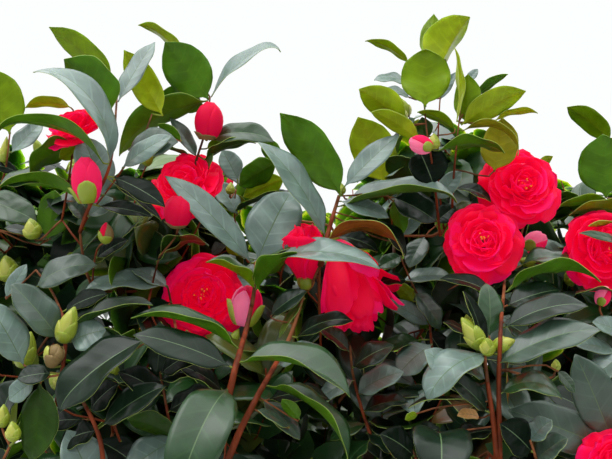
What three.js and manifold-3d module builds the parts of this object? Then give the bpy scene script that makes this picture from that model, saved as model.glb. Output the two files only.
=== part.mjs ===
// Camellia shrub, about one and a half metres tall, rooted in the ground.
// A short flared trunk forks into five boughs, and side limbs carry the rest of the crown.
// Each mass of foliage is one closed, uneven solid that stands for its twigs, leaves and blooms.
// Millimetres, +Z up. The origin is the centre of the flat cut at ground level, and -Y is the front.

import * as THREE from "three";
import { mergeVertices } from "three/addons/utils/BufferGeometryUtils.js";
import Module from "manifold-3d";

// Driving dimensions of the whole shrub
const HEIGHT = 1545;
const HALF_WIDTH = 620;
const HALF_DEPTH = 560;

// The trunk, from the flat cut at the ground to the fork
const TRUNK_HEIGHT = 185;
const TRUNK_RADIUS = 27;
const FORK_RADIUS = 34;
const FLARE_RADIUS = 52;
const FLARE_HEIGHT = 60;
const TRUNK_LEAN = new THREE.Vector2(14, -8);
const ROOT_RIDGES = 5;
const RIDGE_SHARE = 0.13;
const DOME_HEIGHT = 12;
const TRUNK_SIDES = 16;
const TRUNK_LEVELS = 7;

// Boughs leave the trunk on a ring just under its top, and side limbs leave the boughs
const BOUGH_RING = 19;
const BOUGH_SINK = 26;
const BOUGH_RADII = [12.5, 6];
const LIMB_RADII = [7.5, 4];
const BOUGH_SIDES = 8;
const LIMB_SIDES = 6;
const BOUGH_STEPS = 7;
const LIMB_STEPS = 5;
const SWAY = 0.05; // how far a bough bows sideways, as a share of its rise
const SPREAD = 0.1; // how far out a bough heads as it leaves the fork, as a share of its rise
const HOLLOW = 0.3; // how near the middle of the shrub a bough rises, as a share of its mass's offset
const ENTRY = 26; // how far a bough or limb runs into its mass
const SEAT_GAP = 0.35; // between a limb and what it grows from or runs into
const MASS_GAP = 8; // the crevice between two masses that meet

const wasm = await Module();
wasm.setup();

// A small repeatable random number source
function seeded(seed) {
  let state = seed >>> 0;
  return () => {
    state = (Math.imul(state, 1664525) + 1013904223) >>> 0;
    return state / 4294967296;
  };
}

// Finishes
const BARK = { color: 0x8a7360, roughness: 0.85, metalness: 0 };
const FOLIAGE = { color: 0x2f5230, roughness: 0.45, metalness: 0 };

// Solids to and from three.js geometry
const SAME_POINT = 1e-3;

function merged(geometry) {
  const bare = new THREE.BufferGeometry().setAttribute("position", geometry.getAttribute("position"));
  if (geometry.index) bare.setIndex(geometry.index);
  return mergeVertices(bare, SAME_POINT);
}

function solidOf(geometry) {
  const closed = merged(geometry);
  return new wasm.Manifold(
    new wasm.Mesh({
      numProp: 3,
      vertProperties: closed.attributes.position.array,
      triVerts: new Uint32Array(closed.index.array),
    }),
  );
}

function geometryOf(solid) {
  const mesh = solid.getMesh();
  const geometry = new THREE.BufferGeometry();
  geometry.setAttribute("position", new THREE.BufferAttribute(new Float32Array(mesh.vertProperties), 3));
  geometry.setIndex(new THREE.BufferAttribute(new Uint32Array(mesh.triVerts), 1));
  geometry.computeVertexNormals();
  return geometry;
}

function largestBody(solid) {
  return solid.decompose().reduce((best, body) => (body.volume() > best.volume() ? body : best));
}

// A mass of foliage: a sphere pushed in and out by broad, seeded swells, then sized to its own box
const SWELLS = 7;
const SWELL_SHARE = 0.055;
const SWELL_PITCH = [3.2, 8.4];
const ROOM_STEPS = 12;

function unevenSphere(mass) {
  const random = seeded(mass.seed);
  const swells = Array.from({ length: SWELLS }, () => ({
    axis: new THREE.Vector3(random() - 0.5, random() - 0.5, random() - 0.5).normalize(),
    pitch: THREE.MathUtils.lerp(...SWELL_PITCH, random()),
    phase: 2 * Math.PI * random(),
  }));
  const sphere = merged(new THREE.IcosahedronGeometry(1, mass.detail));
  const position = sphere.getAttribute("position");
  const point = new THREE.Vector3();
  for (let i = 0; i < position.count; i++) {
    point.fromBufferAttribute(position, i);
    const swell = swells.reduce((sum, s) => sum + Math.cos(s.pitch * point.dot(s.axis) + s.phase), 0);
    point.multiplyScalar(1 + SWELL_SHARE * swell);
    position.setXYZ(i, point.x, point.y, point.z);
  }
  sphere.center();
  sphere.computeBoundingBox();
  const half = sphere.boundingBox.max;
  sphere.scale(mass.radii[0] / half.x, mass.radii[1] / half.y, mass.radii[2] / half.z);
  return sphere;
}

// How deep a point lies in a mass: 0 at its centre and about 1 at its surface
function depthIn(mass, point) {
  const offset = point.clone().sub(mass.centre);
  return Math.hypot(offset.x / mass.radii[0], offset.y / mass.radii[1], offset.z / mass.radii[2]);
}

// The share of an offset that a mass can fill before it meets a neighbour
function roomShare(mass, offset, masses) {
  const crowded = (share) => {
    const point = mass.centre.clone().addScaledVector(offset, share);
    const own = depthIn(mass, point);
    return masses.some((other) => other !== mass && depthIn(other, point) - own < MASS_GAP / other.radii[0]);
  };
  if (!crowded(1)) return 1;
  let [clear, full] = [0, 1];
  for (let i = 0; i < ROOM_STEPS; i++) {
    const middle = (clear + full) / 2;
    if (crowded(middle)) full = middle;
    else clear = middle;
  }
  return clear;
}

function massShape(mass, masses) {
  const shape = unevenSphere(mass);
  const position = shape.getAttribute("position");
  const offset = new THREE.Vector3();
  for (let i = 0; i < position.count; i++) {
    offset.fromBufferAttribute(position, i);
    offset.multiplyScalar(roomShare(mass, offset, masses)).add(mass.centre);
    position.setXYZ(i, offset.x, offset.y, offset.z);
  }
  shape.computeBoundingBox();
  return shape;
}

// A limb: a cylinder whose radius tapers, bent along a curve
function limbSolid(limb, grown = 0) {
  const [foot, tip] = limb.radii;
  const tube = new THREE.CylinderGeometry(tip + grown, foot + grown, 1, limb.sides, limb.steps);
  const frames = limb.curve.computeFrenetFrames(limb.steps, false);
  const position = tube.getAttribute("position");
  const place = new THREE.Vector3();
  for (let i = 0; i < position.count; i++) {
    const share = position.getY(i) + 0.5;
    const step = Math.round(share * limb.steps);
    limb.curve.getPointAt(step / limb.steps, place);
    place.addScaledVector(frames.binormals[step], position.getX(i));
    place.addScaledVector(frames.normals[step], position.getZ(i));
    if (step === 0) place.addScaledVector(frames.tangents[0], -grown);
    if (step === limb.steps) place.addScaledVector(frames.tangents[step], grown);
    position.setXYZ(i, place.x, place.y, place.z);
  }
  return solidOf(tube);
}

// The trunk: a lathed profile with root ridges at its foot, leaning a little
function trunkSolid(grown = 0) {
  const profile = [new THREE.Vector2(0, 0)];
  for (let i = 0; i <= TRUNK_LEVELS; i++) {
    const z = (TRUNK_HEIGHT * i) / TRUNK_LEVELS;
    const flare = Math.max(0, 1 - z / FLARE_HEIGHT) ** 2;
    const swell = THREE.MathUtils.smoothstep(z, 0.5 * TRUNK_HEIGHT, TRUNK_HEIGHT);
    const waist = THREE.MathUtils.lerp(TRUNK_RADIUS, FORK_RADIUS, swell);
    profile.push(new THREE.Vector2(waist + (FLARE_RADIUS - TRUNK_RADIUS) * flare + grown, z));
  }
  profile.push(new THREE.Vector2(0.55 * FORK_RADIUS, TRUNK_HEIGHT + 0.75 * DOME_HEIGHT + grown));
  profile.push(new THREE.Vector2(0, TRUNK_HEIGHT + DOME_HEIGHT + grown));
  const lathe = new THREE.LatheGeometry(profile, TRUNK_SIDES);
  const position = lathe.getAttribute("position");
  for (let i = 0; i < position.count; i++) {
    const [x, z, y] = [position.getX(i), position.getY(i), position.getZ(i)];
    const angle = Math.atan2(y, x);
    const ridge = 1 + RIDGE_SHARE * Math.cos(ROOT_RIDGES * angle) * Math.max(0, 1 - z / FLARE_HEIGHT);
    const lean = (z / TRUNK_HEIGHT) ** 2;
    position.setXYZ(i, x * ridge + TRUNK_LEAN.x * lean, -y * ridge + TRUNK_LEAN.y * lean, z);
  }
  return solidOf(lathe);
}

// The masses. The two tops stand apart, with open sky between them.
const FINE = 3; // how finely the sphere under a mass is divided
const COARSE = 2;

function mass(name, x, y, z, rx, ry, rz, seed, detail = FINE) {
  return { name, centre: new THREE.Vector3(x, y, z), radii: [rx, ry, rz], seed, detail };
}

const TOP_MASSES = [
  mass("foliage_top_left", -218, -215, HEIGHT - 220, 172, 185, 190, 11),
  mass("foliage_top_right", 180, -175, HEIGHT - 196, 136, 180, 196, 23),
];
const SHOULDER_MASSES = [
  mass("foliage_shoulder_left", -440, -70, 1192, 180, 225, 218, 31),
  mass("foliage_shoulder_right", 425, -90, 1180, 195, 225, 218, 59),
  mass("foliage_back_left", -196, 232, 1175, 205, 200, 190, 53),
  mass("foliage_back_right", 215, 250, 1185, 195, 195, 190, 61),
];
const FRONT_MASSES = [
  mass("foliage_front_left", -172, -322, 1030, 180, 165, 158, 73),
  mass("foliage_front_right", 208, -318, 1018, 178, 165, 160, 89),
  mass("foliage_front_centre", 14, -245, 1142, 118, 150, 150, 97),
];

// A ring of masses round the shrub, each turned by an even share of a circle
function ringOfMasses(ring) {
  return ring.sides.map((side, i) => {
    const angle = THREE.MathUtils.degToRad(ring.start + (360 * i) / ring.sides.length);
    const wave = i % 2 ? 1 : -1;
    return mass(
      ring.prefix + side,
      Math.cos(angle) * (HALF_WIDTH - ring.radius - ring.inset),
      Math.sin(angle) * (HALF_DEPTH - ring.radius - ring.inset),
      ring.height + wave * ring.stagger,
      ring.radius,
      ring.radius,
      ring.tall,
      ring.seed + 7 * i,
      ring.detail,
    );
  });
}

const MIDDLE_RING = {
  prefix: "foliage_middle_",
  sides: ["front", "front_right", "back_right", "back", "back_left", "front_left"],
  start: -90,
  height: 790,
  stagger: 20,
  radius: 202,
  tall: 205,
  inset: 6,
  seed: 101,
  detail: FINE,
};
const SKIRT_RING = {
  prefix: "foliage_skirt_",
  sides: ["front_right", "right", "back", "left", "front_left"],
  start: -54,
  height: 420,
  stagger: 14,
  radius: 205,
  tall: 195,
  inset: 48,
  seed: 211,
  detail: COARSE,
};
const MIDDLE_MASSES = ringOfMasses(MIDDLE_RING);
const SKIRT_MASSES = ringOfMasses(SKIRT_RING);
const MASSES = [TOP_MASSES, FRONT_MASSES, SHOULDER_MASSES, MIDDLE_MASSES, SKIRT_MASSES].flat();
for (const each of MASSES) each.shape = massShape(each, MASSES);

const bothSides = new THREE.MeshBasicMaterial({ side: THREE.DoubleSide });

// The end of a limb that comes into a mass from a point outside it
function entryPoint(target, from) {
  const outward = from.clone().sub(target.centre).normalize();
  const surface = new THREE.Mesh(target.shape, bothSides);
  const [hit] = new THREE.Raycaster(target.centre, outward).intersectObject(surface);
  return target.centre.clone().addScaledVector(outward, hit.distance - ENTRY);
}

// Boughs from the fork. Each rises near the middle of the shrub, then comes into its mass from below.
const FORK = new THREE.Vector3(TRUNK_LEAN.x, TRUNK_LEAN.y, TRUNK_HEIGHT - BOUGH_SINK);

function bough(target, i) {
  const outward = new THREE.Vector3(target.centre.x, target.centre.y, 0).normalize();
  const foot = FORK.clone().addScaledVector(outward, BOUGH_RING);
  const underside = target.centre.z - 2 * target.radii[2];
  const below = target.centre.clone().multiplyScalar(HOLLOW).setZ(underside);
  const tip = entryPoint(target, below);
  const rise = tip.z - foot.z;
  const aside = new THREE.Vector3(-outward.y, outward.x, 0).multiplyScalar(SWAY * rise * (i % 2 ? 1 : -1));
  const low = new THREE.Vector3(0, 0, 0.3 * rise).addScaledVector(outward, SPREAD * rise).add(aside);
  const high = new THREE.Vector3(0, 0, -SWAY * rise).sub(aside);
  return {
    name: target.name.replace("foliage", "bough"),
    target,
    radii: BOUGH_RADII,
    sides: BOUGH_SIDES,
    steps: BOUGH_STEPS,
    curve: new THREE.CubicBezierCurve3(foot, low.add(foot), high.add(tip.clone().lerp(below, 0.9)), tip),
  };
}

const BOUGHS = [...TOP_MASSES, ...SHOULDER_MASSES.slice(0, 3)].map(bough);

// Side limbs. Each leaves the bough that heads most nearly its way, at a share of that bough's length.
function heading(point) {
  return new THREE.Vector2(point.x, point.y).normalize();
}

function nearestBough(target) {
  const agreement = (each) => heading(each.target.centre).dot(heading(target.centre));
  return BOUGHS.reduce((best, each) => (agreement(each) > agreement(best) ? each : best));
}

function limb(target, share) {
  const parent = nearestBough(target);
  const foot = parent.curve.getPointAt(share);
  const approach = foot.clone().lerp(target.centre, 0.2);
  approach.z -= 0.3 * target.radii[2];
  const tip = entryPoint(target, approach);
  const span = tip.distanceTo(foot);
  const outward = tip.clone().sub(foot).setZ(0).normalize();
  const low = foot.clone().addScaledVector(parent.curve.getTangentAt(share), 0.12 * span);
  const high = tip.clone().sub(new THREE.Vector3(0, 0, 0.06 * span));
  low.addScaledVector(outward, 0.28 * span);
  high.addScaledVector(outward, -0.3 * span);
  return {
    name: target.name.replace("foliage", "limb"),
    radii: LIMB_RADII,
    sides: LIMB_SIDES,
    steps: LIMB_STEPS,
    curve: new THREE.CubicBezierCurve3(foot, low, high, tip),
  };
}

// The shares rise round each ring, so that no two limbs leave one bough at the same height
const CROWN_LIMBS = [
  [SHOULDER_MASSES[3], 0.52],
  [FRONT_MASSES[0], 0.62],
  [FRONT_MASSES[1], 0.6],
  [FRONT_MASSES[2], 0.66],
];
const LIMBS = [
  ...CROWN_LIMBS.map(([target, share]) => limb(target, share)),
  ...MIDDLE_MASSES.map((target, i) => limb(target, 0.3 + 0.035 * (i % 3))),
  ...SKIRT_MASSES.map((target, i) => limb(target, 0.09 + 0.03 * (i % 3))),
];

// Assembly. Wood is cut first, in order of growth, then each mass is cut round the wood.
const shrub = new THREE.Group();
shrub.name = "camellia_shrub";

function add(name, solid, finish) {
  const mesh = new THREE.Mesh(geometryOf(solid), new THREE.MeshStandardMaterial(finish));
  mesh.name = name;
  shrub.add(mesh);
}

function meets(a, b) {
  return [0, 1, 2].every((k) => a.min[k] < b.max[k] && b.min[k] < a.max[k]);
}

function cutRound(solid, others) {
  const box = solid.boundingBox();
  const near = others.filter((other) => meets(box, other.boundingBox()));
  return largestBody(near.reduce((left, other) => left.subtract(other), solid));
}

const wood = [trunkSolid(SEAT_GAP)];
add("trunk", trunkSolid(), BARK);
for (const piece of [...BOUGHS, ...LIMBS]) {
  add(piece.name, cutRound(limbSolid(piece), wood), BARK);
  wood.push(limbSolid(piece, SEAT_GAP));
}
for (const target of MASSES) add(target.name, cutRound(solidOf(target.shape), wood), FOLIAGE);

export default shrub;
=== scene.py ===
"""Camellia shrub in bloom: bark, twigs, leaves, blooms and buds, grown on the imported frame."""

import math
from collections import namedtuple

import bpy
import numpy as np
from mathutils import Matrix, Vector
from mathutils.bvhtree import BVHTree


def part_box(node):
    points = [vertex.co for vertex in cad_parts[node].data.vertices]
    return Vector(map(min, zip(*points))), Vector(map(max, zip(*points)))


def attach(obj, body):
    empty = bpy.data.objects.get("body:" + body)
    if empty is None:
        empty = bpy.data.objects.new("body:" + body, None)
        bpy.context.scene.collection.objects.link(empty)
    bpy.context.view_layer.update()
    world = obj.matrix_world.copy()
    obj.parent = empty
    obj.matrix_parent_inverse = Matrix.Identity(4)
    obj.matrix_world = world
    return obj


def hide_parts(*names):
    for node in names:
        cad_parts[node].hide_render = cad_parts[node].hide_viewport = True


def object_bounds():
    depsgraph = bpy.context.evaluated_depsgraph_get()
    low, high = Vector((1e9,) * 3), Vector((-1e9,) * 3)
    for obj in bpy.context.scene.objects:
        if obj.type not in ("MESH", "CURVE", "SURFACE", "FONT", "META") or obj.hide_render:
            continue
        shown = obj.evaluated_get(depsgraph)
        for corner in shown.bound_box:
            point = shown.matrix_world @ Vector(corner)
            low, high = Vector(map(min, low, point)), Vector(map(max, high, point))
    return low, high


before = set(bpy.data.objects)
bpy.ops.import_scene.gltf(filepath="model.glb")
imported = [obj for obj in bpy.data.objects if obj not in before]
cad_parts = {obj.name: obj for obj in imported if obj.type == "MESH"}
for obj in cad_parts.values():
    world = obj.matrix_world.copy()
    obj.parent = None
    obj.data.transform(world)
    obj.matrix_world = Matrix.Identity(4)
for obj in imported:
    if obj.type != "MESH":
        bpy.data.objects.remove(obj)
cad_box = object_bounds()

MM = 0.001
UP = np.array([0.0, 0.0, 1.0])

# The camera, level at a standing person's chest
PHOTO_WIDE, PHOTO_HIGH = 612, 459
HALF_VIEW = math.radians(19)
EYE = np.array([0.0, -1.330, 1.260])
SENSOR = 36.0
PIXEL = 2 * math.tan(HALF_VIEW) / PHOTO_WIDE


def place_camera():
    """The photo's own view: level, along +Y, 38 degrees wide."""
    lens = bpy.data.cameras.new("view")
    lens.sensor_width = SENSOR
    lens.lens = SENSOR / 2 / math.tan(HALF_VIEW)
    camera = bpy.data.objects.new("view", lens)
    camera.location = EYE
    camera.rotation_euler = (math.pi / 2, 0, 0)
    bpy.context.scene.collection.objects.link(camera)
    bpy.context.scene.camera = camera


def seen(px, py, depth):
    """The place that the photo shows at a pixel, on the plane y = depth, in metres."""
    reach = (depth - EYE[1]) * PIXEL
    return np.array([(px - PHOTO_WIDE / 2) * reach, depth, EYE[2] - (py - PHOTO_HIGH / 2) * reach])


def pixels(points):
    """Where the photo shows these points, as pixels along and down."""
    reach = (points[..., 1] - EYE[1]) * PIXEL
    along = points[..., 0] / reach + PHOTO_WIDE / 2
    down = (EYE[2] - points[..., 2]) / reach + PHOTO_HIGH / 2
    return along, down


# Small vector and curve helpers


def unit(v):
    return v / np.maximum(np.linalg.norm(v, axis=-1, keepdims=True), 1e-9)


def square_to(v, way):
    """v with its part along the unit vector way taken out, at unit length."""
    return unit(v - np.sum(v * way, axis=-1, keepdims=True) * way)


def any_square(way):
    helper = UP if abs(way[2]) < 0.9 else np.array([1.0, 0.0, 0.0])
    return unit(np.cross(way, helper))


def bow(start, way_out, end, way_in, steps):
    """Points on a smooth curve that leaves start along way_out and reaches end along way_in."""
    reach = np.linalg.norm(end - start) / 3
    a, b = start + way_out * reach, end - way_in * reach
    t = np.linspace(0, 1, steps)[:, None]
    return (1 - t) ** 3 * start + 3 * (1 - t) ** 2 * t * a + 3 * (1 - t) * t**2 * b + t**3 * end


WAVES, FINER, FAINTER = 5, 1.9, 1.7


def ripple(points, seed, size, octaves=3):
    """An even, seeded unevenness between about -1 and 1, with lumps of the given size."""
    draw = np.random.default_rng(seed)
    total = np.zeros(points.shape[:-1])
    for octave in range(octaves):
        ways = unit(draw.normal(size=(WAVES, 3))) * (2 * math.pi / size) * FINER**octave
        starts = draw.uniform(0, 2 * math.pi, WAVES)
        total += np.sin(points @ ways.T + starts).sum(-1) / WAVES / FAINTER**octave
    return total


# Closed shells, gathered into one piece


class Shells:
    """Gathers closed shells and makes one piece of them."""

    def __init__(self, name, slot, finishes):
        self.name, self.slot, self.finishes = name, slot, finishes
        self.points, self.faces, self.kinds, self.flats, self.spots = [], [], [], [], []
        self.total = 0

    def add(self, points, faces, kinds, flat=False, spots=None):
        """Adds points, faces that count from the first of them, and each face's finish."""
        points = points.reshape(-1, 3)
        self.points.append(points)
        self.faces.append(faces + self.total)
        self.kinds.append(np.broadcast_to(kinds, len(faces)))
        self.flats.append(np.broadcast_to(flat, len(faces)))
        self.spots.append(np.zeros((len(points), 2)) if spots is None else spots.reshape(-1, 2))
        self.total += len(points)

    def add_tube(self, points, radii, sides, kind=0):
        """Adds a round limb along points, closed at both ends."""
        points, radii = np.asarray(points), np.broadcast_to(radii, len(points))
        ways = unit(np.gradient(points, axis=0))
        across = any_square(ways[0])
        turn = np.linspace(0, 2 * math.pi, sides, endpoint=False)
        rings = []
        for point, way, radius in zip(points, ways, radii):
            across = square_to(across, way)
            ring = np.cos(turn)[:, None] * across + np.sin(turn)[:, None] * np.cross(way, across)
            rings.append(point + radius * ring)
        self.add_rings(np.array(rings), kind)

    def add_rings(self, rings, kind=0):
        """Adds a closed body whose skin runs through rings of points."""
        levels, sides = rings.shape[:2]
        ends = np.array([rings[0].mean(0), rings[-1].mean(0)])
        grid = np.arange(levels * sides).reshape(levels, sides)
        onward = np.roll(grid, -1, axis=1)
        skin = np.stack([grid[:-1], onward[:-1], onward[1:], grid[1:]], -1).reshape(-1, 4)
        foot = np.stack([np.full(sides, levels * sides), onward[0], grid[0]], -1)
        head = np.stack([np.full(sides, levels * sides + 1), grid[-1], onward[-1]], -1)
        start = self.total
        self.add(np.concatenate([rings.reshape(-1, 3), ends]), skin, kind)
        self.faces.append(np.concatenate([foot, head]) + start)
        self.kinds.append(np.full(2 * sides, kind))
        self.flats.append(np.zeros(2 * sides, bool))

    def piece(self, *replaced):
        """Makes the piece, which rides on the shrub's one body and replaces these nodes."""
        mesh = bpy.data.meshes.new(self.name)
        corners = np.concatenate([f.ravel() for f in self.faces]).astype(np.int32)
        sizes = np.concatenate([np.full(len(f), f.shape[1]) for f in self.faces])
        mesh.vertices.add(self.total)
        mesh.vertices.foreach_set("co", np.concatenate(self.points).astype(np.float32).ravel())
        mesh.loops.add(len(corners))
        mesh.loops.foreach_set("vertex_index", corners)
        mesh.polygons.add(len(sizes))
        mesh.polygons.foreach_set("loop_start", (np.cumsum(sizes) - sizes).astype(np.int32))
        mesh.polygons.foreach_set("material_index", np.concatenate(self.kinds).astype(np.int32))
        mesh.polygons.foreach_set("use_smooth", ~np.concatenate(self.flats))
        layer = mesh.uv_layers.new(name="spread")
        layer.uv.foreach_set("vector", np.concatenate(self.spots)[corners].astype(np.float32).ravel())
        for finish in self.finishes:
            mesh.materials.append(finish)
        mesh.update(calc_edges=True)
        mesh.validate()
        made = bpy.data.objects.new(self.name, mesh)
        bpy.context.scene.collection.objects.link(made)
        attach(made, "root")
        if replaced:
            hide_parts(*replaced)
        return made


# Finishes


class Field:
    """A node's output, which takes part in sums as a number does."""

    def __init__(self, nodes, socket):
        self.nodes, self.socket = nodes, socket

    def sum(self, operation, first, second=0.0):
        return self.nodes.node("ShaderNodeMath", {"operation": operation}, {0: first, 1: second})

    def __add__(self, other):
        return self.sum("ADD", self, other)

    def __sub__(self, other):
        return self.sum("SUBTRACT", self, other)

    def __mul__(self, other):
        return self.sum("MULTIPLY", self, other)

    def __rsub__(self, other):
        return self.sum("SUBTRACT", other, self)

    __radd__, __rmul__ = __add__, __mul__

    def __abs__(self):
        return self.sum("ABSOLUTE", self)

    def sine(self):
        return self.sum("SINE", self)


class Nodes:
    """A node tree, and the one way in which any node in it is made."""

    def __init__(self, tree):
        self.tree = tree

    def link(self, value, socket):
        if isinstance(value, Field):
            self.tree.links.new(value.socket, socket)
        else:
            socket.default_value = value

    def node(self, kind, settings=None, sockets=None, output=0):
        """Makes a node of this kind, with its settings set first, and gives one of its outputs."""
        made = self.tree.nodes.new(kind)
        for name, value in (settings or {}).items():
            setattr(made, name, value)
        for name, value in (sockets or {}).items():
            self.link(value, made.inputs[name])
        return Field(self, made.outputs[output])


# Outputs of nodes that have several
OBJECT_PLACE, MIXED_COLOUR = 3, 2
ALONG, ACROSS = 0, 1


class Finish(Nodes):
    """One finish: a shader with plain values, or values worked out by nodes."""

    def __init__(self, name, **values):
        self.material = bpy.data.materials.new(name)
        self.material.use_nodes = True
        super().__init__(self.material.node_tree)
        self.shader = self.tree.nodes["Principled BSDF"]
        for socket, value in values.items():
            self.set(socket.replace("_", " "), value)

    def set(self, socket, value):
        names = {s.name.lower(): s for s in self.shader.inputs}
        self.link(value, names[socket.lower()])

    def noise(self, scale, detail=3.0, roughness=0.5, stretch=(1, 1, 1)):
        """Soft noise over the body itself, drawn out along an axis by stretch."""
        place = self.node("ShaderNodeTexCoord", output=OBJECT_PLACE)
        drawn = self.node("ShaderNodeMapping", sockets={"Vector": place, "Scale": stretch})
        values = {"Vector": drawn, "Scale": scale, "Detail": detail, "Roughness": roughness}
        return self.node("ShaderNodeTexNoise", sockets=values)

    def blend(self, share, first, second):
        """A colour between two colours."""
        settings = {"data_type": "RGBA", "clamp_factor": True}
        return self.node("ShaderNodeMix", settings, {0: share, 6: first, 7: second}, output=MIXED_COLOUR)

    def steps(self, value, low, high):
        """0 below low, 1 above high, and smooth between."""
        settings = {"interpolation_type": "SMOOTHSTEP"}
        sockets = {"Value": value, "From Min": low, "From Max": high}
        return self.node("ShaderNodeMapRange", settings, sockets)

    def bump(self, height, strength, distance):
        values = {"Height": height, "Strength": strength, "Distance": distance}
        self.set("normal", self.node("ShaderNodeBump", sockets=values))

    def spread(self, output):
        """A blade's own measure along it, or across it, from 0 to 1."""
        place = self.node("ShaderNodeUVMap", {"uv_map": "spread"})
        return self.node("ShaderNodeSeparateXYZ", sockets={0: place}, output=output)


def tinted(colour, factor, lift=0.0):
    """A colour made darker or paler by a factor, with full opacity."""
    return (*[value * factor + lift for value in colour], 1)


# Leaf tones, each with the colour of its top and of its underside. The silver and grey tops are paler than
# the leaf itself is, a painted sheen of the bright sky, and the shade tone is near black, painted shade

Tone = namedtuple("Tone", "name top under")
TONES = (
    Tone("deep", (0.016, 0.058, 0.014), (0.085, 0.205, 0.007)),
    Tone("dark", (0.007, 0.020, 0.009), (0.026, 0.068, 0.006)),
    Tone("fresh", (0.040, 0.110, 0.010), (0.200, 0.310, 0.004)),
    Tone("olive", (0.070, 0.095, 0.010), (0.340, 0.300, 0.010)),
    Tone("russet", (0.090, 0.050, 0.014), (0.310, 0.100, 0.014)),
    # shade: a near-black top and underside, painted shade for leaves in the crown's dark inside
    Tone("shade", (0.004, 0.010, 0.005), (0.009, 0.020, 0.004)),
    # silver: a pale blue-grey top, a strong painted sheen of the sky
    Tone("silver", (0.160, 0.238, 0.204), (0.100, 0.190, 0.020)),
    # grey: a grey-green top paler than the deep one, a weaker painted sheen of the sky
    Tone("grey", (0.050, 0.091, 0.062), (0.110, 0.230, 0.008)),
    Tone("young", (0.080, 0.160, 0.012), (0.360, 0.440, 0.008)),
    Tone("dry", (0.900, 0.480, 0.160), (0.400, 0.200, 0.060)),
)
DEEP, DARK, FRESH, OLIVE, RUSSET, PAINTED_SHADE, SILVER_PAINTED_SHEEN, GREY_PAINTED_SHEEN, YOUNG, DRY = range(len(TONES))
MARGIN, MIDRIB = 2 * len(TONES), 2 * len(TONES) + 1

# How strongly a leaf's top mirrors the light, and how glossy the coat over it is
TOP_SHEEN = (0.45, 0.45)
LOW_SHEEN = {"deep": (0.38, 0.36), "dark": (0.22, 0.18), "shade": (0.08, 0.0)}
TOP_ROUGH, TOP_GLOW = 0.34, 0.10
UNDER_ROUGH, UNDER_GLOW, UNDER_SHEEN = 0.50, 0.60, 0.16
VEINS = 6.5
VEIN_SLANT = 0.16
VEIN_CREST = 0.80
VEIN_PALER = 2.2
MOTTLE_DARKER = 0.70
MOTTLE_PITCH, SKIN_PITCH = 45, 55


def leaf_finish(name, colour, roughness, glow, sheen=0.5, gloss=0.0):
    """Leaf skin in one colour, which lets some of the light behind it through."""
    return Finish(
        name,
        base_color=(*colour, 1),
        roughness=roughness,
        specular_ior_level=sheen,
        coat_weight=gloss,
        coat_roughness=0.22,
        coat_ior=1.45,
        subsurface_weight=glow,
        subsurface_radius=(0.7, 1.0, 0.2),
        subsurface_scale=0.0012,
    )


def veined(finish, colour, pale):
    """Draws a leaf's side veins and a slow mottle over a leaf skin, from the blade's own spread."""
    off_rib = abs(finish.spread(ACROSS) * 2 - 1)
    wave = (finish.spread(ALONG) - off_rib * VEIN_SLANT) * (VEINS * 2 * math.pi)
    ridge = wave.sine()
    vein = finish.steps(ridge, VEIN_CREST, 1.0) * (0.9 - off_rib * 0.8)
    mottle = finish.steps(finish.noise(MOTTLE_PITCH), 0.35, 0.7)
    base = finish.blend(mottle, tinted(colour, MOTTLE_DARKER), (*colour, 1))
    finish.set("base color", finish.blend(vein * pale, base, tinted(colour, VEIN_PALER, 0.01)))
    finish.set("roughness", 0.28 + mottle * 0.12)
    finish.bump(finish.noise(SKIN_PITCH, detail=2) * 0.8 + ridge * 0.12, 0.35, 0.0016)


def leaf_finishes(near=False):
    """All the skins of a leaf piece: a top and an underside for each tone, margin and midrib."""
    tops, unders = [], []
    for tone in TONES:
        gloss = LOW_SHEEN.get(tone.name, TOP_SHEEN)
        tops.append(leaf_finish(f"leaf_top_{tone.name}", tone.top, TOP_ROUGH, TOP_GLOW, *gloss))
    for tone in TONES:
        under = leaf_finish(f"leaf_under_{tone.name}", tone.under, UNDER_ROUGH, UNDER_GLOW, UNDER_SHEEN)
        unders.append(under)
    if near:
        for tone, top, under in zip(TONES, tops, unders):
            veined(top, tone.top, 0.22)
            veined(under, tone.under, 0.10)
    margin = leaf_finish("leaf_margin", (0.30, 0.38, 0.08), 0.5, 0.4)
    midrib = leaf_finish("leaf_midrib", (0.08, 0.14, 0.055) if near else (0.03, 0.06, 0.02), 0.42, 0.2)
    return [finish.material for finish in tops + unders + [margin, midrib]]


# Noise drawn out along the wood
LENGTHWISE = (1, 1, 0.35)
PATCH_DARKER, PATCH_PALER = 0.42, 1.45


def bark_finish():
    """Smooth grey-brown bark with pale lichen flecks and fine lengthwise cracks."""
    bark = Finish("bark_grey_brown", specular_ior_level=0.25)
    broad = bark.noise(14, detail=4, stretch=(1, 1, 0.45))
    fine = bark.noise(90, detail=5, roughness=0.6, stretch=LENGTHWISE)
    fleck = bark.steps(bark.noise(38), 0.58, 0.68)
    base = bark.blend(bark.steps(broad, 0.3, 0.7), (0.105, 0.068, 0.045, 1), (0.260, 0.200, 0.150, 1))
    worn = bark.blend(bark.steps(fine, 0.35, 0.75) * 0.55, base, (0.055, 0.036, 0.026, 1))
    bark.set("base color", bark.blend(fleck * 0.5, worn, (0.36, 0.37, 0.30, 1)))
    bark.set("roughness", 0.72 + broad * 0.2)
    bark.bump(fine * 0.7 + broad, 0.55, 0.002)
    return bark.material


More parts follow.
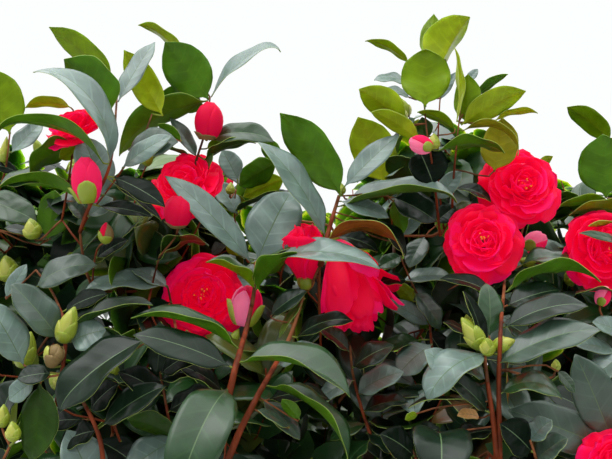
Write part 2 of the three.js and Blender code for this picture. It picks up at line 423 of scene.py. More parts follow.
def twig_finishes(near=False):
    """Twig skins from old grey-brown to young red-brown and green."""
    colours = {
        "twig_old": ((0.130, 0.090, 0.066), 0.7),
        "twig_tan": ((0.205, 0.072, 0.028), 0.6),
        "twig_red_brown": ((0.185, 0.034, 0.010), 0.5),
        "twig_green": ((0.150, 0.190, 0.028), 0.45),
    }
    made = []
    for name, (colour, rough) in colours.items():
        twig = Finish(name, base_color=(*colour, 1), roughness=rough, specular_ior_level=0.15)
        if near:
            patch = twig.steps(twig.noise(55, detail=4, stretch=LENGTHWISE), 0.32, 0.68)
            darker, paler = tinted(colour, PATCH_DARKER), tinted(colour, PATCH_PALER)
            twig.set("base color", twig.blend(patch, darker, paler))
            twig.bump(patch, 0.4, 0.0006)
        made.append(twig.material)
    return made


TWIG_OLD, TWIG_TAN, TWIG_RED, TWIG_GREEN = range(4)

PETAL_STREAKS = 70
THROAT_PAINTED_SHADE = 0.55
PAINTED_GLOW_BLUER = 1.6


def petal_finish(name, colour, edge=None):
    """Satin petal skin with a faint painted glow. On the near blooms it is darker at its throat, painted
    shade, and goes over to a second, paler colour towards its edge, a painted highlight.
    """
    petal = Finish(
        name,
        base_color=(*colour, 1),
        roughness=0.6,
        specular_ior_level=0.12,
        subsurface_weight=0.6,
        subsurface_radius=(1.0, 0.05, 0.10),
        subsurface_scale=0.0030,
        # A faint glow of the skin's own colour, a little bluer: painted light that lifts the shaded parts of
        # petals, buds and stamens
        emission_color=(colour[0], colour[1], colour[2] * PAINTED_GLOW_BLUER, 1),
        emission_strength=0.18,
    )
    if edge:
        along, across = petal.spread(ALONG), petal.spread(ACROSS)
        streak = (across * PETAL_STREAKS).sine()
        outward = petal.steps(along + abs(across * 2 - 1) * 0.35 + streak * 0.04, 0.45, 1.3)
        # Darker towards the throat: painted shade
        base = petal.blend(petal.steps(along, 0.05, 0.55), tinted(colour, THROAT_PAINTED_SHADE), (*colour, 1))
        # Paler and pinker towards the edge: a painted highlight
        petal.set("base color", petal.blend(outward, base, (*edge, 1)))
    return petal.material


def bloom_finishes(near=False):
    """Petal skins, and the skins of what lies before and behind the petals."""
    # The near blooms' edge colours, paler and bluer than their reds, are a painted highlight
    highlight_rims = ((0.90, 0.002, 0.058), (0.82, 0.001, 0.042), (0.92, 0.006, 0.120)) if near else (None,) * 3
    reds = ((0.84, 0.001, 0.040), (0.72, 0.001, 0.030), (0.88, 0.002, 0.072))
    names = ("petal_red", "petal_crimson", "petal_rose")
    petals = [petal_finish(name, red, rim) for name, red, rim in zip(names, reds, highlight_rims)]
    return petals + [
        petal_finish("stamen_yellow", (0.95, 0.45, 0.04)),
        leaf_finish("scale_green", (0.27, 0.34, 0.022), 0.40, 0.3).material,
        leaf_finish("scale_pale", (0.42, 0.44, 0.070), 0.40, 0.3).material,
        leaf_finish("scale_brown", (0.20, 0.13, 0.040), 0.6, 0.1).material,
        petal_finish("bud_red", (0.60, 0.001, 0.036)),
        petal_finish("bud_pink", (0.76, 0.010, 0.080)),
        petal_finish("bud_blush", (0.84, 0.170, 0.270)),
    ]


RED, CRIMSON, ROSE, STAMEN, GREEN, PALE, BROWN, BUD_RED, BUD_PINK, BUD_BLUSH = range(10)

# Thin curved blades, which leaves and petals are made of

# A blade's cut: its stations along, its strips across and its widths, the half width of its rib,
# how far its end is rounded and notched, and whether its edge has a rim of its own
Cut = namedtuple("Cut", "stations strips widths rib round notch rim", defaults=(0.0, 0.0, 0.0, True))

LEAF_STATIONS = (0.0, 0.07, 0.12, 0.20, 0.31, 0.45, 0.60, 0.75, 0.87, 0.94, 1.0)
LEAF_WIDTHS = (0.055, 0.06, 0.38, 0.70, 0.92, 1.0, 0.98, 0.83, 0.53, 0.24, 0.02)
PETAL_STATIONS = (0.0, 0.2, 0.4, 0.6, 0.8, 0.93, 1.0)
PETAL_WIDTHS = (0.30, 0.58, 0.86, 1.0, 0.99, 0.84, 0.62)


OUTLINE_POINTS, OUTLINE_BLUR = 400, 31


def rounded(stations, widths, count):
    """A smooth outline through a few widths, at count even stations."""
    at = np.linspace(0, 1, count)
    dense = np.linspace(0, 1, OUTLINE_POINTS)
    line = np.interp(dense, stations, widths)
    kernel = np.hanning(OUTLINE_BLUR)
    soft = np.convolve(np.pad(line, OUTLINE_BLUR // 2, mode="edge"), kernel / kernel.sum(), mode="valid")
    return at, np.interp(at, dense, soft)


def leaf_cut(count, strips, rib):
    at, widths = rounded(LEAF_STATIONS, LEAF_WIDTHS, count)
    widths[-1] = LEAF_WIDTHS[-1]
    return Cut(at, np.array(strips), widths, rib)


def petal_cut(count, strips, rim=True):
    at, widths = rounded(PETAL_STATIONS, PETAL_WIDTHS, count)
    return Cut(at, np.linspace(-1, 1, strips), widths, round=0.10, notch=0.07, rim=rim)


PLAIN_LEAF = Cut(
    np.array([0.0, 0.08, 0.18, 0.36, 0.58, 0.82, 1.0]),
    np.array([-1.0, 0.0, 1.0]),
    np.array([0.06, 0.10, 0.64, 0.97, 0.99, 0.66, 0.03]),
    rim=False,
)
MIDDLE_LEAF = leaf_cut(8, (-1.0, -0.55, -0.035, 0.035, 0.55, 1.0), 0.035)
NEAR_LEAF = leaf_cut(25, (-1.0, -0.8, -0.54, -0.27, -0.024, 0.024, 0.27, 0.54, 0.8, 1.0), 0.024)
PLAIN_PETAL = petal_cut(5, 4, rim=False)
NEAR_PETAL = petal_cut(9, 9)
LEAF_THICK = 0.45 * MM


ON_TOP, UNDERNEATH, ON_MARGIN, RIB_ABOVE, RIB_BELOW = range(5)


def blade_faces(stations, strips, rib_strip=None, rim=True):
    """The faces of one closed blade, and the part of it that each is on."""
    count = stations * strips
    top = np.arange(count).reshape(stations, strips)
    under = top + count
    faces, kinds = [], []
    for i in range(stations - 1):
        for j in range(strips - 1):
            faces.append((top[i, j], top[i, j + 1], top[i + 1, j + 1], top[i + 1, j]))
            faces.append((under[i, j], under[i + 1, j], under[i + 1, j + 1], under[i, j + 1]))
            kinds += [RIB_ABOVE, RIB_BELOW] if j == rib_strip else [ON_TOP, UNDERNEATH]
    if not rim:
        return np.array(faces), np.array(kinds)
    for i in range(stations - 1):
        faces.append((top[i, 0], top[i + 1, 0], under[i + 1, 0], under[i, 0]))
        faces.append((top[i + 1, -1], top[i, -1], under[i, -1], under[i + 1, -1]))
        kinds += [ON_MARGIN, ON_MARGIN]
    for j in range(strips - 1):
        faces.append((top[0, j + 1], top[0, j], under[0, j], under[0, j + 1]))
        faces.append((top[-1, j], top[-1, j + 1], under[-1, j + 1], under[-1, j]))
        kinds += [ON_MARGIN, ON_MARGIN]
    return np.array(faces), np.array(kinds)


# A leaf or petal: where it starts, its ways along and up, its length and width, how far it arches,
# hooks its tip, folds along its rib, cups and waves its edges, and twists, and its tone
Leaf = namedtuple("Leaf", "base along up length width arch hook fold camber wave phase twist tone")
HOOK_FROM = 0.72
EDGE_WAVES, WAVE_LAG = 1.9, 1.7
FOLD_FADE = 0.45
RIB_THICKER, RIB_DEPTH = 1.2, 0.6


def bent(arch, hook, stations):
    """Bend angle at each station, and the midrib's path in its own plane, for a length of 1."""
    u = stations
    bend = np.outer(arch, u**1.15) + np.outer(hook, np.clip((u - HOOK_FROM) / (1 - HOOK_FROM), 0, 1) ** 2)
    middle = (bend[:, 1:] + bend[:, :-1]) / 2
    step = np.diff(u)
    zero = np.zeros((len(bend), 1))
    ahead = np.concatenate([zero, np.cumsum(np.cos(middle) * step, axis=1)], axis=1)
    rise = np.concatenate([zero, np.cumsum(-np.sin(middle) * step, axis=1)], axis=1)
    return bend, ahead, rise


def leaf_points(cut, leaves, relief=0.0):
    """Top and underside points of many leaves at once, as [leaf, station, strip, xyz]."""
    f = Leaf(*[np.array([getattr(leaf, name) for leaf in leaves]) for name in Leaf._fields])
    u, w = cut.stations, cut.strips
    bend, ahead, rise = bent(f.arch, f.hook, u)
    along, up = f.along[:, None], f.up[:, None]
    side = np.cross(f.along, f.up)[:, None]
    path = f.base[:, None] + f.length[:, None, None] * (ahead[..., None] * along + rise[..., None] * up)
    onward = np.cos(bend)[..., None] * along - np.sin(bend)[..., None] * up
    normal = np.sin(bend)[..., None] * along + np.cos(bend)[..., None] * up
    roll = (f.twist[:, None] * u)[..., None]
    across = np.cos(roll) * side + np.sin(roll) * normal
    normal = np.cos(roll) * normal - np.sin(roll) * side
    half = f.width[:, None] / 2 * cut.widths
    fold = f.fold[:, None] * (1 - FOLD_FADE * u)
    flat = np.abs(w)
    out = half[..., None] * w * np.cos(fold)[..., None]
    lift = half[..., None] * (flat * np.sin(fold)[..., None] - f.camber[:, None, None] * flat**2)
    turn = 2 * math.pi * EDGE_WAVES * u[:, None] + np.where(w > 0, WAVE_LAG, 0.0) + f.phase[:, None, None]
    lift = lift + half[..., None] * f.wave[:, None, None] * np.sin(turn) * flat**2
    ridges = np.sin(2 * math.pi * VEINS * (u[:, None] - VEIN_SLANT * flat)) * flat * (1 - flat) * 4
    on_rib = (flat <= cut.rib) * (cut.rib > 0)
    lift = lift + relief * ridges - RIB_DEPTH * relief * on_rib
    back = u[:, None] ** 6 * (cut.round * flat**2 + cut.notch * (1 - flat) ** 1.5)
    top = path[:, :, None] + out[..., None] * across[:, :, None] + lift[..., None] * normal[:, :, None]
    top = top - f.length[:, None, None, None] * back[None, ..., None] * onward[:, :, None]
    thick = np.tile(LEAF_THICK * (1 + RIB_THICKER * on_rib), (len(u), 1))
    if not cut.rim:
        thick = thick * np.outer((u > 0) & (u < 1), 1 - flat**2)
    return top, top - thick[..., None] * normal[:, :, None]


# The finish of each part of a blade, and whether the blade's tone moves it on
Skins = namedtuple("Skins", "kinds toned")
LEAF_SKINS = Skins(np.array([0, len(TONES), MARGIN, MIDRIB, len(TONES)]), np.array([1, 1, 0, 0, 1]))
PETAL_SKINS = Skins(np.zeros(5, int), np.ones(5, int))


def add_leaves(shells, cut, leaves, skins=LEAF_SKINS, relief=0.0):
    """Adds many leaves or petals to a piece."""
    if not leaves:
        return
    top, under = leaf_points(cut, leaves, relief)
    stations, strips = len(cut.stations), len(cut.strips)
    faces, kinds = blade_faces(stations, strips, strips // 2 - 1 if cut.rib else None, cut.rim)
    starts = np.arange(len(leaves)) * 2 * stations * strips
    tones = np.array([leaf.tone for leaf in leaves])[:, None]
    spot = np.stack(np.meshgrid(cut.stations, (cut.strips + 1) / 2, indexing="ij"), -1)
    shells.add(
        np.stack([top, under], axis=1),
        (faces[None] + starts[:, None, None]).reshape(-1, 4),
        (skins.kinds[kinds][None] + skins.toned[kinds][None] * tones).ravel(),
        np.tile(kinds == ON_MARGIN, len(leaves)),
        np.broadcast_to(spot, (len(leaves), 2, stations, strips, 2)),
    )


# Blooms and buds

# A ring of petals: how many, how far they spread in degrees, their length and width in millimetres,
# and their arch and hook in degrees
Ring = namedtuple("Ring", "count spread length width arch hook")
OPEN_RINGS = (
    Ring(8, 86, 41, 42, -10, 26),
    Ring(8, 70, 38, 38, -22, 24),
    Ring(8, 54, 34, 32, -32, 22),
    Ring(7, 40, 29, 26, -36, 20),
    Ring(6, 26, 25, 20, -30, 10),
    Ring(5, 12, 21, 15, -20, 0),
)
CUP_RINGS = (
    Ring(5, 18, 48, 34, -30, 18),
    Ring(5, 13, 48, 30, -24, 12),
    Ring(5, 8, 44, 26, -18, 6),
    Ring(4, 4, 40, 20, -12, 0),
)
HALF_OPEN_RINGS = (
    Ring(5, 50, 42, 40, -40, 34),
    Ring(5, 36, 42, 38, -38, 22),
    Ring(5, 22, 40, 32, -30, 10),
    Ring(5, 10, 36, 26, -22, 0),
)
FAN_RINGS = (
    Ring(10, 30, 60, 19, -14, 14),
    Ring(9, 23, 66, 19, -12, 10),
    Ring(8, 15, 70, 18, -8, 6),
    Ring(6, 7, 66, 16, -6, 0),
)
SIMPLE_RINGS = (Ring(6, 84, 40, 44, -10, 22), Ring(6, 60, 36, 38, -28, 18), Ring(5, 34, 29, 30, -42, 6))


BLOOM_WIDE = 86.0
RED_ODDS = (0.58, 0.22, 0.20)
PETAL_FOLD = 0.05
FIRST_LEVEL, NEXT_LEVEL, FOOT_RADIUS = 0.4, 1.1, 2.2
ANY_PHASE = (0, 6.28)


def bloom_petal(centre, axis, radial, level, ring, size, draw):
    """One petal, which leaves the bloom's middle towards radial."""
    spread = math.radians(ring.spread + draw.normal(0, 6))
    length = ring.length * size * draw.uniform(0.92, 1.06) * MM
    return Leaf(
        base=centre + (axis * (FIRST_LEVEL + NEXT_LEVEL * level) + radial * FOOT_RADIUS) * size * MM,
        along=math.cos(spread) * axis + math.sin(spread) * radial,
        up=math.sin(spread) * axis - math.cos(spread) * radial,
        length=length,
        width=ring.width * size * draw.uniform(0.92, 1.08) * MM,
        arch=math.radians(ring.arch + draw.normal(0, 7)),
        hook=math.radians(ring.hook + draw.normal(0, 10)),
        fold=PETAL_FOLD,
        camber=draw.uniform(-0.34, -0.10),
        wave=draw.uniform(0.08, 0.24),
        phase=draw.uniform(*ANY_PHASE),
        twist=draw.normal(0, 0.20),
        tone=int(draw.choice(len(RED_ODDS), p=RED_ODDS)),
    )


def bloom_petals(centre, axis, size, rings, draw):
    """The petals of one bloom, from the outermost ring in."""
    first = any_square(axis)
    second = np.cross(axis, first)
    start = draw.uniform(0, 2 * math.pi)
    petals = []
    for level, ring in enumerate(rings):
        start += math.pi / ring.count + draw.normal(0, 0.1)
        for k in range(ring.count):
            angle = start + 2 * math.pi * k / ring.count + draw.normal(0, 0.10)
            radial = math.cos(angle) * first + math.sin(angle) * second
            petals.append(bloom_petal(centre, axis, radial, level, ring, size, draw))
    return petals


STAMEN_LEAN, STAMEN_REACH = 0.42, (20, 25)
THREAD_RADIUS, ANTHER_RADIUS, ANTHER_LENGTH = 0.35 * MM, 1.0 * MM, 2.4 * MM


def add_stamens(shells, centre, axis, size, count, draw):
    """A loose tuft of yellow stamens in a bloom's throat."""
    first = any_square(axis)
    second = np.cross(axis, first)
    for _ in range(count):
        angle, lean = draw.uniform(0, 2 * math.pi), draw.uniform(0, STAMEN_LEAN)
        way = unit(axis + lean * (math.cos(angle) * first + math.sin(angle) * second))
        tip = centre + way * draw.uniform(*STAMEN_REACH) * size * MM
        shells.add_tube(np.array([centre, tip]), THREAD_RADIUS, 3, PALE)
        shells.add_tube(np.array([tip, tip + way * ANTHER_LENGTH]), ANTHER_RADIUS, 4, STAMEN)


# A bud's scale or petal: how far up the bud it reaches, its finish and the half angle that it wraps
Scale = namedtuple("Scale", "reach kind half", defaults=(1.15,))
Bud = namedtuple("Bud", "scales blunt flare spin", defaults=(0.0,))


def scales(*rows):
    return tuple(Scale(*row) for row in rows)


GREEN_BUD = Bud(
    scales(
        (0.34, GREEN), (0.42, GREEN), (0.52, PALE), (0.64, GREEN),
        (0.78, GREEN), (0.90, PALE), (1.0, GREEN),
    ),
    0.80, 0.0,
)  # fmt: skip
RED_BUD = Bud(
    scales(
        (0.13, BROWN), (0.16, GREEN), (0.20, BROWN), (0.90, BUD_RED, 0.95), (0.93, BUD_PINK, 0.85),
        (0.95, BUD_RED, 0.95), (0.98, BUD_PINK, 0.90), (1.0, BUD_RED),
    ), 1.1, 0.05,
)  # fmt: skip
PINK_BUD = Bud(
    scales(
        (0.50, GREEN, 0.72), (0.38, PALE, 0.62), (0.36, GREEN, 0.62), (0.90, BUD_PINK), (0.94, BUD_RED),
        (0.95, BUD_PINK), (0.98, BUD_RED), (1.0, BUD_PINK),
    ), 1.0, 0.16,
)  # fmt: skip
OPENING_BUD = Bud(
    scales(
        (0.46, GREEN, 0.5), (0.60, PALE, 0.62), (0.60, GREEN, 0.62), (0.40, PALE, 0.5),
        (0.88, BUD_BLUSH, 0.8), (0.94, BUD_PINK, 0.8), (0.95, BUD_BLUSH, 0.7), (0.98, BUD_RED, 0.8),
        (0.96, BUD_BLUSH, 0.7), (1.0, BUD_PINK, 0.9), (1.0, BUD_RED),
    ), 1.0, 0.24, math.radians(147),
)  # fmt: skip
BLUSH_BUD = Bud(
    scales(
        (0.46, GREEN, 0.7), (0.42, PALE, 0.7), (0.90, BUD_BLUSH), (0.94, BUD_PINK, 0.8),
        (0.97, BUD_BLUSH, 0.8), (1.0, BUD_BLUSH),
    ), 1.0, 0.12,
)  # fmt: skip
WILTED_BUD = Bud(scales((0.7, BROWN), (0.9, BROWN), (0.84, PALE), (1.0, BROWN), (0.95, BROWN)), 1.2, 0.35)
TIGHT_BUD = Bud(
    scales((0.40, GREEN), (0.52, BROWN), (0.60, GREEN), (0.95, BROWN), (1.0, BUD_RED, 0.9)), 0.9, 0.0
)
CALYX = Bud(scales((0.8, GREEN), (0.9, PALE), (0.94, GREEN), (1.0, GREEN)), 1.0, 0.0)
SCALE_TURN = math.radians(137.5)
SCALE_THICK = 0.5 * MM
CORE_SHARE = 0.46

# How finely a bud is made: its core's levels and sides, each scale's levels and strips, and whether
# every scale or every second one is made
Fineness = namedtuple("Fineness", "core_levels core_sides levels strips step")
FINE_BUD = Fineness(8, 10, 8, 7, 1)
PLAIN_BUD = Fineness(5, 6, 4, 3, 2)


def girth(share, blunt):
    """How thick a bud is along its length, 1 at its thickest, which is further out when it is blunt."""
    return np.sin(math.pi * (0.10 + 0.90 * share) ** blunt) ** (0.75 if blunt < 1 else 0.5)


def add_bud(shells, base, way, length, width, bud, fine=False):
    """One bud: a closed core and the scales or petals that overlap around it."""
    grain = FINE_BUD if fine else PLAIN_BUD
    first = square_to(EYE - base, way) if fine else any_square(way)
    second = np.cross(way, first)
    levels = np.linspace(0, 0.97, grain.core_levels)
    turn = np.linspace(0, 2 * math.pi, grain.core_sides, endpoint=False)
    ring = np.cos(turn)[:, None] * first + np.sin(turn)[:, None] * second
    middle = base + np.outer(levels * length, way)
    core = girth(levels, bud.blunt) * width * CORE_SHARE
    shells.add_rings(middle[:, None] + ring * core[:, None, None], bud.scales[-1].kind)
    u = np.linspace(0, 1, grain.levels)
    w = np.linspace(-1, 1, grain.strips)
    faces, kinds = blade_faces(len(u), len(w), rim=fine)
    thick = np.ones((len(u), len(w))) if fine else np.outer((u > 0) & (u < 1), 1 - w**2)
    for k, scale in list(enumerate(bud.scales))[:: grain.step]:
        share = u * scale.reach * 0.99
        angle = bud.spin + SCALE_TURN * k + w * (scale.half * (1 - u**3.0 + 0.02) ** 0.5)[:, None]
        opened = 1 + bud.flare * (u**3)[:, None] * (1 - 0.5 * np.abs(w))
        radius = width / 2 * girth(share, bud.blunt)[:, None] * (1.14 - 0.022 * k - 0.07 * np.abs(w)) * opened
        radial = np.cos(angle)[..., None] * first + np.sin(angle)[..., None] * second
        skin = (base + np.outer(share * length, way))[:, None] + radius[..., None] * radial
        under = skin - radial * thick[..., None] * SCALE_THICK
        shells.add(np.stack([skin, under]), faces, scale.kind, kinds == ON_MARGIN)


# The masses of foliage, as the frame gives them


class Mass:
    """One mass of foliage: its own solid, which tells how deep a point lies in it."""

    def __init__(self, node):
        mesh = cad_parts[node].data
        self.name = node.removeprefix("foliage_")
        self.node = node
        self.points = np.array([v.co for v in mesh.vertices])
        mesh.calc_loop_triangles()
        self.triangles = np.array([t.vertices for t in mesh.loop_triangles])
        self.tree = BVHTree.FromPolygons([Vector(p) for p in self.points], self.triangles.tolist())
        self.centre = (self.points.min(0) + self.points.max(0)) / 2

    def depth(self, point):
        """How far inside the mass a point lies, below 0 outside it."""
        nearest, normal, _, distance = self.tree.find_nearest(Vector(point))
        outside = (Vector(point) - nearest).dot(normal) > 0
        return -distance if outside else distance

    def skin(self, count, draw):
        """Points spread evenly over the mass, and the way out at each."""
        a, b, c = (self.points[self.triangles[:, k]] for k in range(3))
        normals = np.cross(b - a, c - a)
        areas = np.linalg.norm(normals, axis=1)
        picked = draw.choice(len(areas), count, p=areas / areas.sum())
        s, t = np.sqrt(draw.random(count))[:, None], draw.random(count)[:, None]
        places = (1 - s) * a[picked] + s * (1 - t) * b[picked] + s * t * c[picked]
        return places, unit(normals[picked])


masses = [Mass(node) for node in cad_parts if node.startswith("foliage_")]


# The front is measured every few pixels of the photo, and a little past its edges
FRONT_STEP, FRONT_PAST = 17, 3
FILL_PASSES, SMOOTH_PASSES = 40, 2
SIDES = ((0, 1), (0, -1), (1, 0), (-1, 0))


def beside(grid):
    """The sum of each place's four neighbours."""
    return sum(np.roll(grid, side, (0, 1)) for side in SIDES)


def front_depths():
    """How far back the crown's front lies at each pixel of the photo, filled in where it is open."""
    xs = np.arange(-FRONT_PAST, PHOTO_WIDE // FRONT_STEP + 5) * FRONT_STEP
    ys = np.arange(-FRONT_PAST, PHOTO_HIGH // FRONT_STEP + 5) * FRONT_STEP
    front = np.full((len(ys), len(xs)), np.nan)
    for i, py in enumerate(ys):
        for j, px in enumerate(xs):
            way = Vector(seen(px, py, 0.0) - EYE).normalized()
            for mass in masses:
                hit = mass.tree.ray_cast(Vector(EYE), way)[0]
                if hit is not None and not hit.y > front[i, j]:
                    front[i, j] = hit.y
    gaps = np.isnan(front)
    known = np.where(gaps, 0.0, front)
    weight = (~gaps).astype(float)
    for _ in range(FILL_PASSES):
        spread, total = beside(known * weight), beside(weight)
        fresh = gaps & (total > 0)
        known[fresh] = spread[fresh] / total[fresh]
        weight[fresh] = 1.0
    for _ in range(SMOOTH_PASSES):
        known = (known * 2 + beside(known)) / 6
    return xs, ys, known


FRONT_XS, FRONT_YS, FRONT = front_depths()


def front_at(px, py):
    """The crown's front at a pixel, read between the measured places."""
    x = np.clip((np.asarray(px) - FRONT_XS[0]) / FRONT_STEP, 0, len(FRONT_XS) - 1.001)
    y = np.clip((np.asarray(py) - FRONT_YS[0]) / FRONT_STEP, 0, len(FRONT_YS) - 1.001)
    i, j = y.astype(int), x.astype(int)
    s, t = x - j, y - i
    upper = FRONT[i, j] * (1 - s) + FRONT[i, j + 1] * s
    lower = FRONT[i + 1, j] * (1 - s) + FRONT[i + 1, j + 1] * s
    return upper * (1 - t) + lower * t


# Bark, on the centre lines of the frame's own limbs

# A limb widens towards its foot, by this share over this reach
COLLAR, COLLAR_REACH = 0.35, 0.018
LIMB_SINK = 14 * MM
LIMB_SLICES, LIMB_LEVELS, LIMB_SIDES = 12, 44, 20
FINE_ROUGH, BROAD_ROUGH = 0.07, 0.05
FINE_LUMP, BROAD_LUMP = 0.022, 0.05
LIMB_GRAIN, TRUNK_GRAIN = [1, 1, 0.45], [1, 1, 0.4]
TRUNK_LEVELS, TRUNK_SIDES = 46, 56
TRUNK_ROUGH = 1.3 * MM
TRUNK_LUMP, TRUNK_SEED = 0.03, 41
TRUNK_SEARCH = 0.3
TRUNK_CORE = 4 * MM


def centre_line(node, slices):
    """The middle and the radius of a limb at even steps from its thick end."""
    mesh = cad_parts[node].data
    points = np.array([v.co for v in mesh.vertices])
    edges = np.array([e.vertices for e in mesh.edges])
    spread = points - points.mean(0)
    way = np.linalg.svd(spread, full_matrices=False)[2][0]
    reach = spread @ way
    levels = np.linspace(reach.min(), reach.max(), slices + 2)[1:-1]
    middles, radii = [], []
    for level in levels:
        a, b = reach[edges[:, 0]] - level, reach[edges[:, 1]] - level
        cut = a * b < 0
        share = (a[cut] / (a[cut] - b[cut]))[:, None]
        ring = points[edges[cut, 0]] * (1 - share) + points[edges[cut, 1]] * share
        middle = (ring.min(0) + ring.max(0)) / 2
        middles.append(middle)
        radii.append(np.linalg.norm(square_off(ring - middle, way), axis=1).mean())
    if radii[0] < radii[-1]:
        middles, radii = middles[::-1], radii[::-1]
    return np.array(middles), np.array(radii)


def square_off(v, way):
    return v - (v @ way)[:, None] * way


def bark_rings(points, radii, sides, seed):
    """Rings of a limb along points, with seeded relief and a collar at its thick end."""
    ways = unit(np.gradient(points, axis=0))
    along = np.concatenate([[0], np.cumsum(np.linalg.norm(np.diff(points, axis=0), axis=1))])
    radii = radii * (1 + COLLAR * np.exp(-along / COLLAR_REACH))
    across = any_square(ways[0])
    turn = np.linspace(0, 2 * math.pi, sides, endpoint=False)
    rings = []
    for point, way, radius in zip(points, ways, radii):
        across = square_to(across, way)
        ring = np.cos(turn)[:, None] * across + np.sin(turn)[:, None] * np.cross(way, across)
        skin = point + radius * ring
        fine = FINE_ROUGH * ripple(skin * LIMB_GRAIN, seed, FINE_LUMP)
        broad = BROAD_ROUGH * ripple(skin, seed + 1, BROAD_LUMP, 1)
        rings.append(point + (skin - point) * (1 + fine + broad)[:, None])
    return np.array(rings)


def limb_of(mass):
    """The frame's bough or limb that ends in a mass."""
    return next(node for node in (f"bough_{mass.name}", f"limb_{mass.name}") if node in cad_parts)


def smooth_line(points, values, count):
    """A line through points, and its values, at count even steps."""
    along = np.concatenate([[0], np.cumsum(np.linalg.norm(np.diff(points, axis=0), axis=1))])
    at = np.linspace(0, along[-1], count)
    line = np.stack([np.interp(at, along, points[:, k]) for k in range(3)], axis=1)
    for _ in range(3):
        line[1:-1] = (line[:-2] + line[1:-1] * 2 + line[2:]) / 4
    return line, np.interp(at, along, values)


def make_limb(node, finish, seed):
    """The bark of one bough or limb, and where and how thick it ends."""
    middles, radii = centre_line(node, LIMB_SLICES)
    foot = middles[0] - unit(middles[1] - middles[0]) * LIMB_SINK
    head = middles[-1] + unit(middles[-1] - middles[-2]) * LIMB_SINK
    points, radii = smooth_line(
        np.concatenate([[foot], middles, [head]]),
        np.concatenate([[radii[0]], radii, [radii[-1]]]),
        LIMB_LEVELS,
    )
    bark = Shells(f"bark_{node}", "bark", [finish])
    bark.add_rings(bark_rings(points, radii, LIMB_SIDES, seed))
    bark.piece(node)
    return points[-1], unit(points[-1] - points[-3]), radii[-1]


def make_trunk(finish):
    """The trunk's bark, laid over its node from the flat cut to the dome where it forks."""
    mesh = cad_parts["trunk"].data
    points = [v.co.copy() for v in mesh.vertices]
    mesh.calc_loop_triangles()
    tree = BVHTree.FromPolygons(points, [tuple(t.vertices) for t in mesh.loop_triangles])
    low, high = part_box("trunk")
    turn = np.linspace(0, 2 * math.pi, TRUNK_SIDES, endpoint=False)
    rings = []
    middle = np.zeros(2)
    for share in np.linspace(0, 1, TRUNK_LEVELS) ** 0.85:
        z = low.z + (high.z - low.z) * (0.002 + 0.99 * share)
        ring = []
        for angle in turn:
            way = Vector((math.cos(angle), math.sin(angle), 0))
            start = Vector((*middle, z)) + way * TRUNK_SEARCH
            hit = tree.ray_cast(start, -way, TRUNK_SEARCH)[0]
            ring.append(np.array(hit) if hit is not None else np.array([*middle, z]))
        ring = np.array(ring)
        middle = ring[:, :2].mean(0)
        out = square_off(ring - [*middle, z], UP)
        rough = ripple(ring * TRUNK_GRAIN, TRUNK_SEED, TRUNK_LUMP) * TRUNK_ROUGH
        ring = ring + unit(out) * rough[:, None] * (np.linalg.norm(out, axis=1) > TRUNK_CORE)[:, None]
        rings.append(ring)
    rings[0][:, 2] = 0.0
    bark = Shells("bark_trunk", "bark", [finish])
    bark.add_rings(np.array(rings))
    bark.piece("trunk")


# Leafy shoots, spread over the crown


STEM_WOBBLE, STEM_DROOP, STEM_LIFT = 0.22, 0.25, 0.3
STEM_POINTS = 7
HEAD_SHARE, START_SHARE = 0.6, 0.4
SHOOT_LENGTHS = (80, 118)
OUTWARD, WAY_WOBBLE = 0.85, 0.18


class Shoot:
    """One leafy shoot: a gently curved stem from base to tip."""

    def __init__(self, tip, way, length, draw):
        start_way = unit(way + draw.normal(0, STEM_WOBBLE, 3) - UP * STEM_DROOP)
        base = tip - unit(way * HEAD_SHARE + start_way * START_SHARE) * length
        self.path = bow(base, start_way, tip, unit(way + UP * STEM_LIFT), STEM_POINTS)
        self.way = way
        self.tone = DEEP
        self.leaves = []

    def at(self, share):
        """A place on the stem, and the stem's way there."""
        place = share * (len(self.path) - 1)
        k = min(int(place), len(self.path) - 2)
        step = self.path[k + 1] - self.path[k]
        return self.path[k] + step * (place - k), unit(step)

    def foot(self):
        """Where the shoot starts, and its way there."""
        return self.path[0], unit(self.path[1] - self.path[0])


def shoot_outward(tip, out, lift, draw):
    """A shoot to a tip, which heads outward and, by its lift, upward."""
    way = unit(out * OUTWARD + UP * lift + draw.normal(0, WAY_WOBBLE, 3))
    return Shoot(tip, way, draw.uniform(*SHOOT_LENGTHS) * MM, draw)


SHOOT_GAP = 70 * MM
SEEN_GAP = 0.73
CANDIDATES = 900
NEIGHBOUR_REACH = 0.8
OPEN_LIFT, UNDERSIDE_LIFT, UNDERSIDE = 0.5, 0.1, -0.3
SKIN_DEPTH = 50 * MM

# The crown's rounded outline between its masses: its middle height and half height, its reach in X and Y,
# how much that varies, and how far it draws in at its top and foot
GAP_CANDIDATES = 1500
GAP_MIDDLE, GAP_HALF = 0.84, 0.52
GAP_REACH = np.array([0.50, 0.44, 0.0])
GAP_SPREAD, GAP_DRAWN_IN = (0.92, 1.04), 0.26
GAP_LIFT = 0.45

CLEAR_OUT, UNSEEN_CLEAR_OUT = 60 * MM, 18 * MM
BLOOM_LEAN, BLOOM_DISC = 0.30, 0.42
NEAR_LAYER = 88 * MM
NEAR_CLEAR = 52 * MM
SIDE_ROOM, TOP_ROOM, FLOOR_ROOM = 20 * MM, 25 * MM, 90 * MM
SINK_STEP, SINK_STEPS = 14 * MM, 14

# The upper outline of the dense foliage, in the photo's own pixels from left to right
DENSE_LINE = (
    (-60, 128), (0, 140), (60, 160), (112, 176), (150, 150), (215, 158), (262, 168), (290, 196),
    (330, 206), (352, 176), (372, 132), (404, 112), (440, 110), (500, 128), (530, 158), (566, 176),
    (585, 150), (612, 140), (670, 120),
)  # fmt: skip
FRAME_EDGE = 14


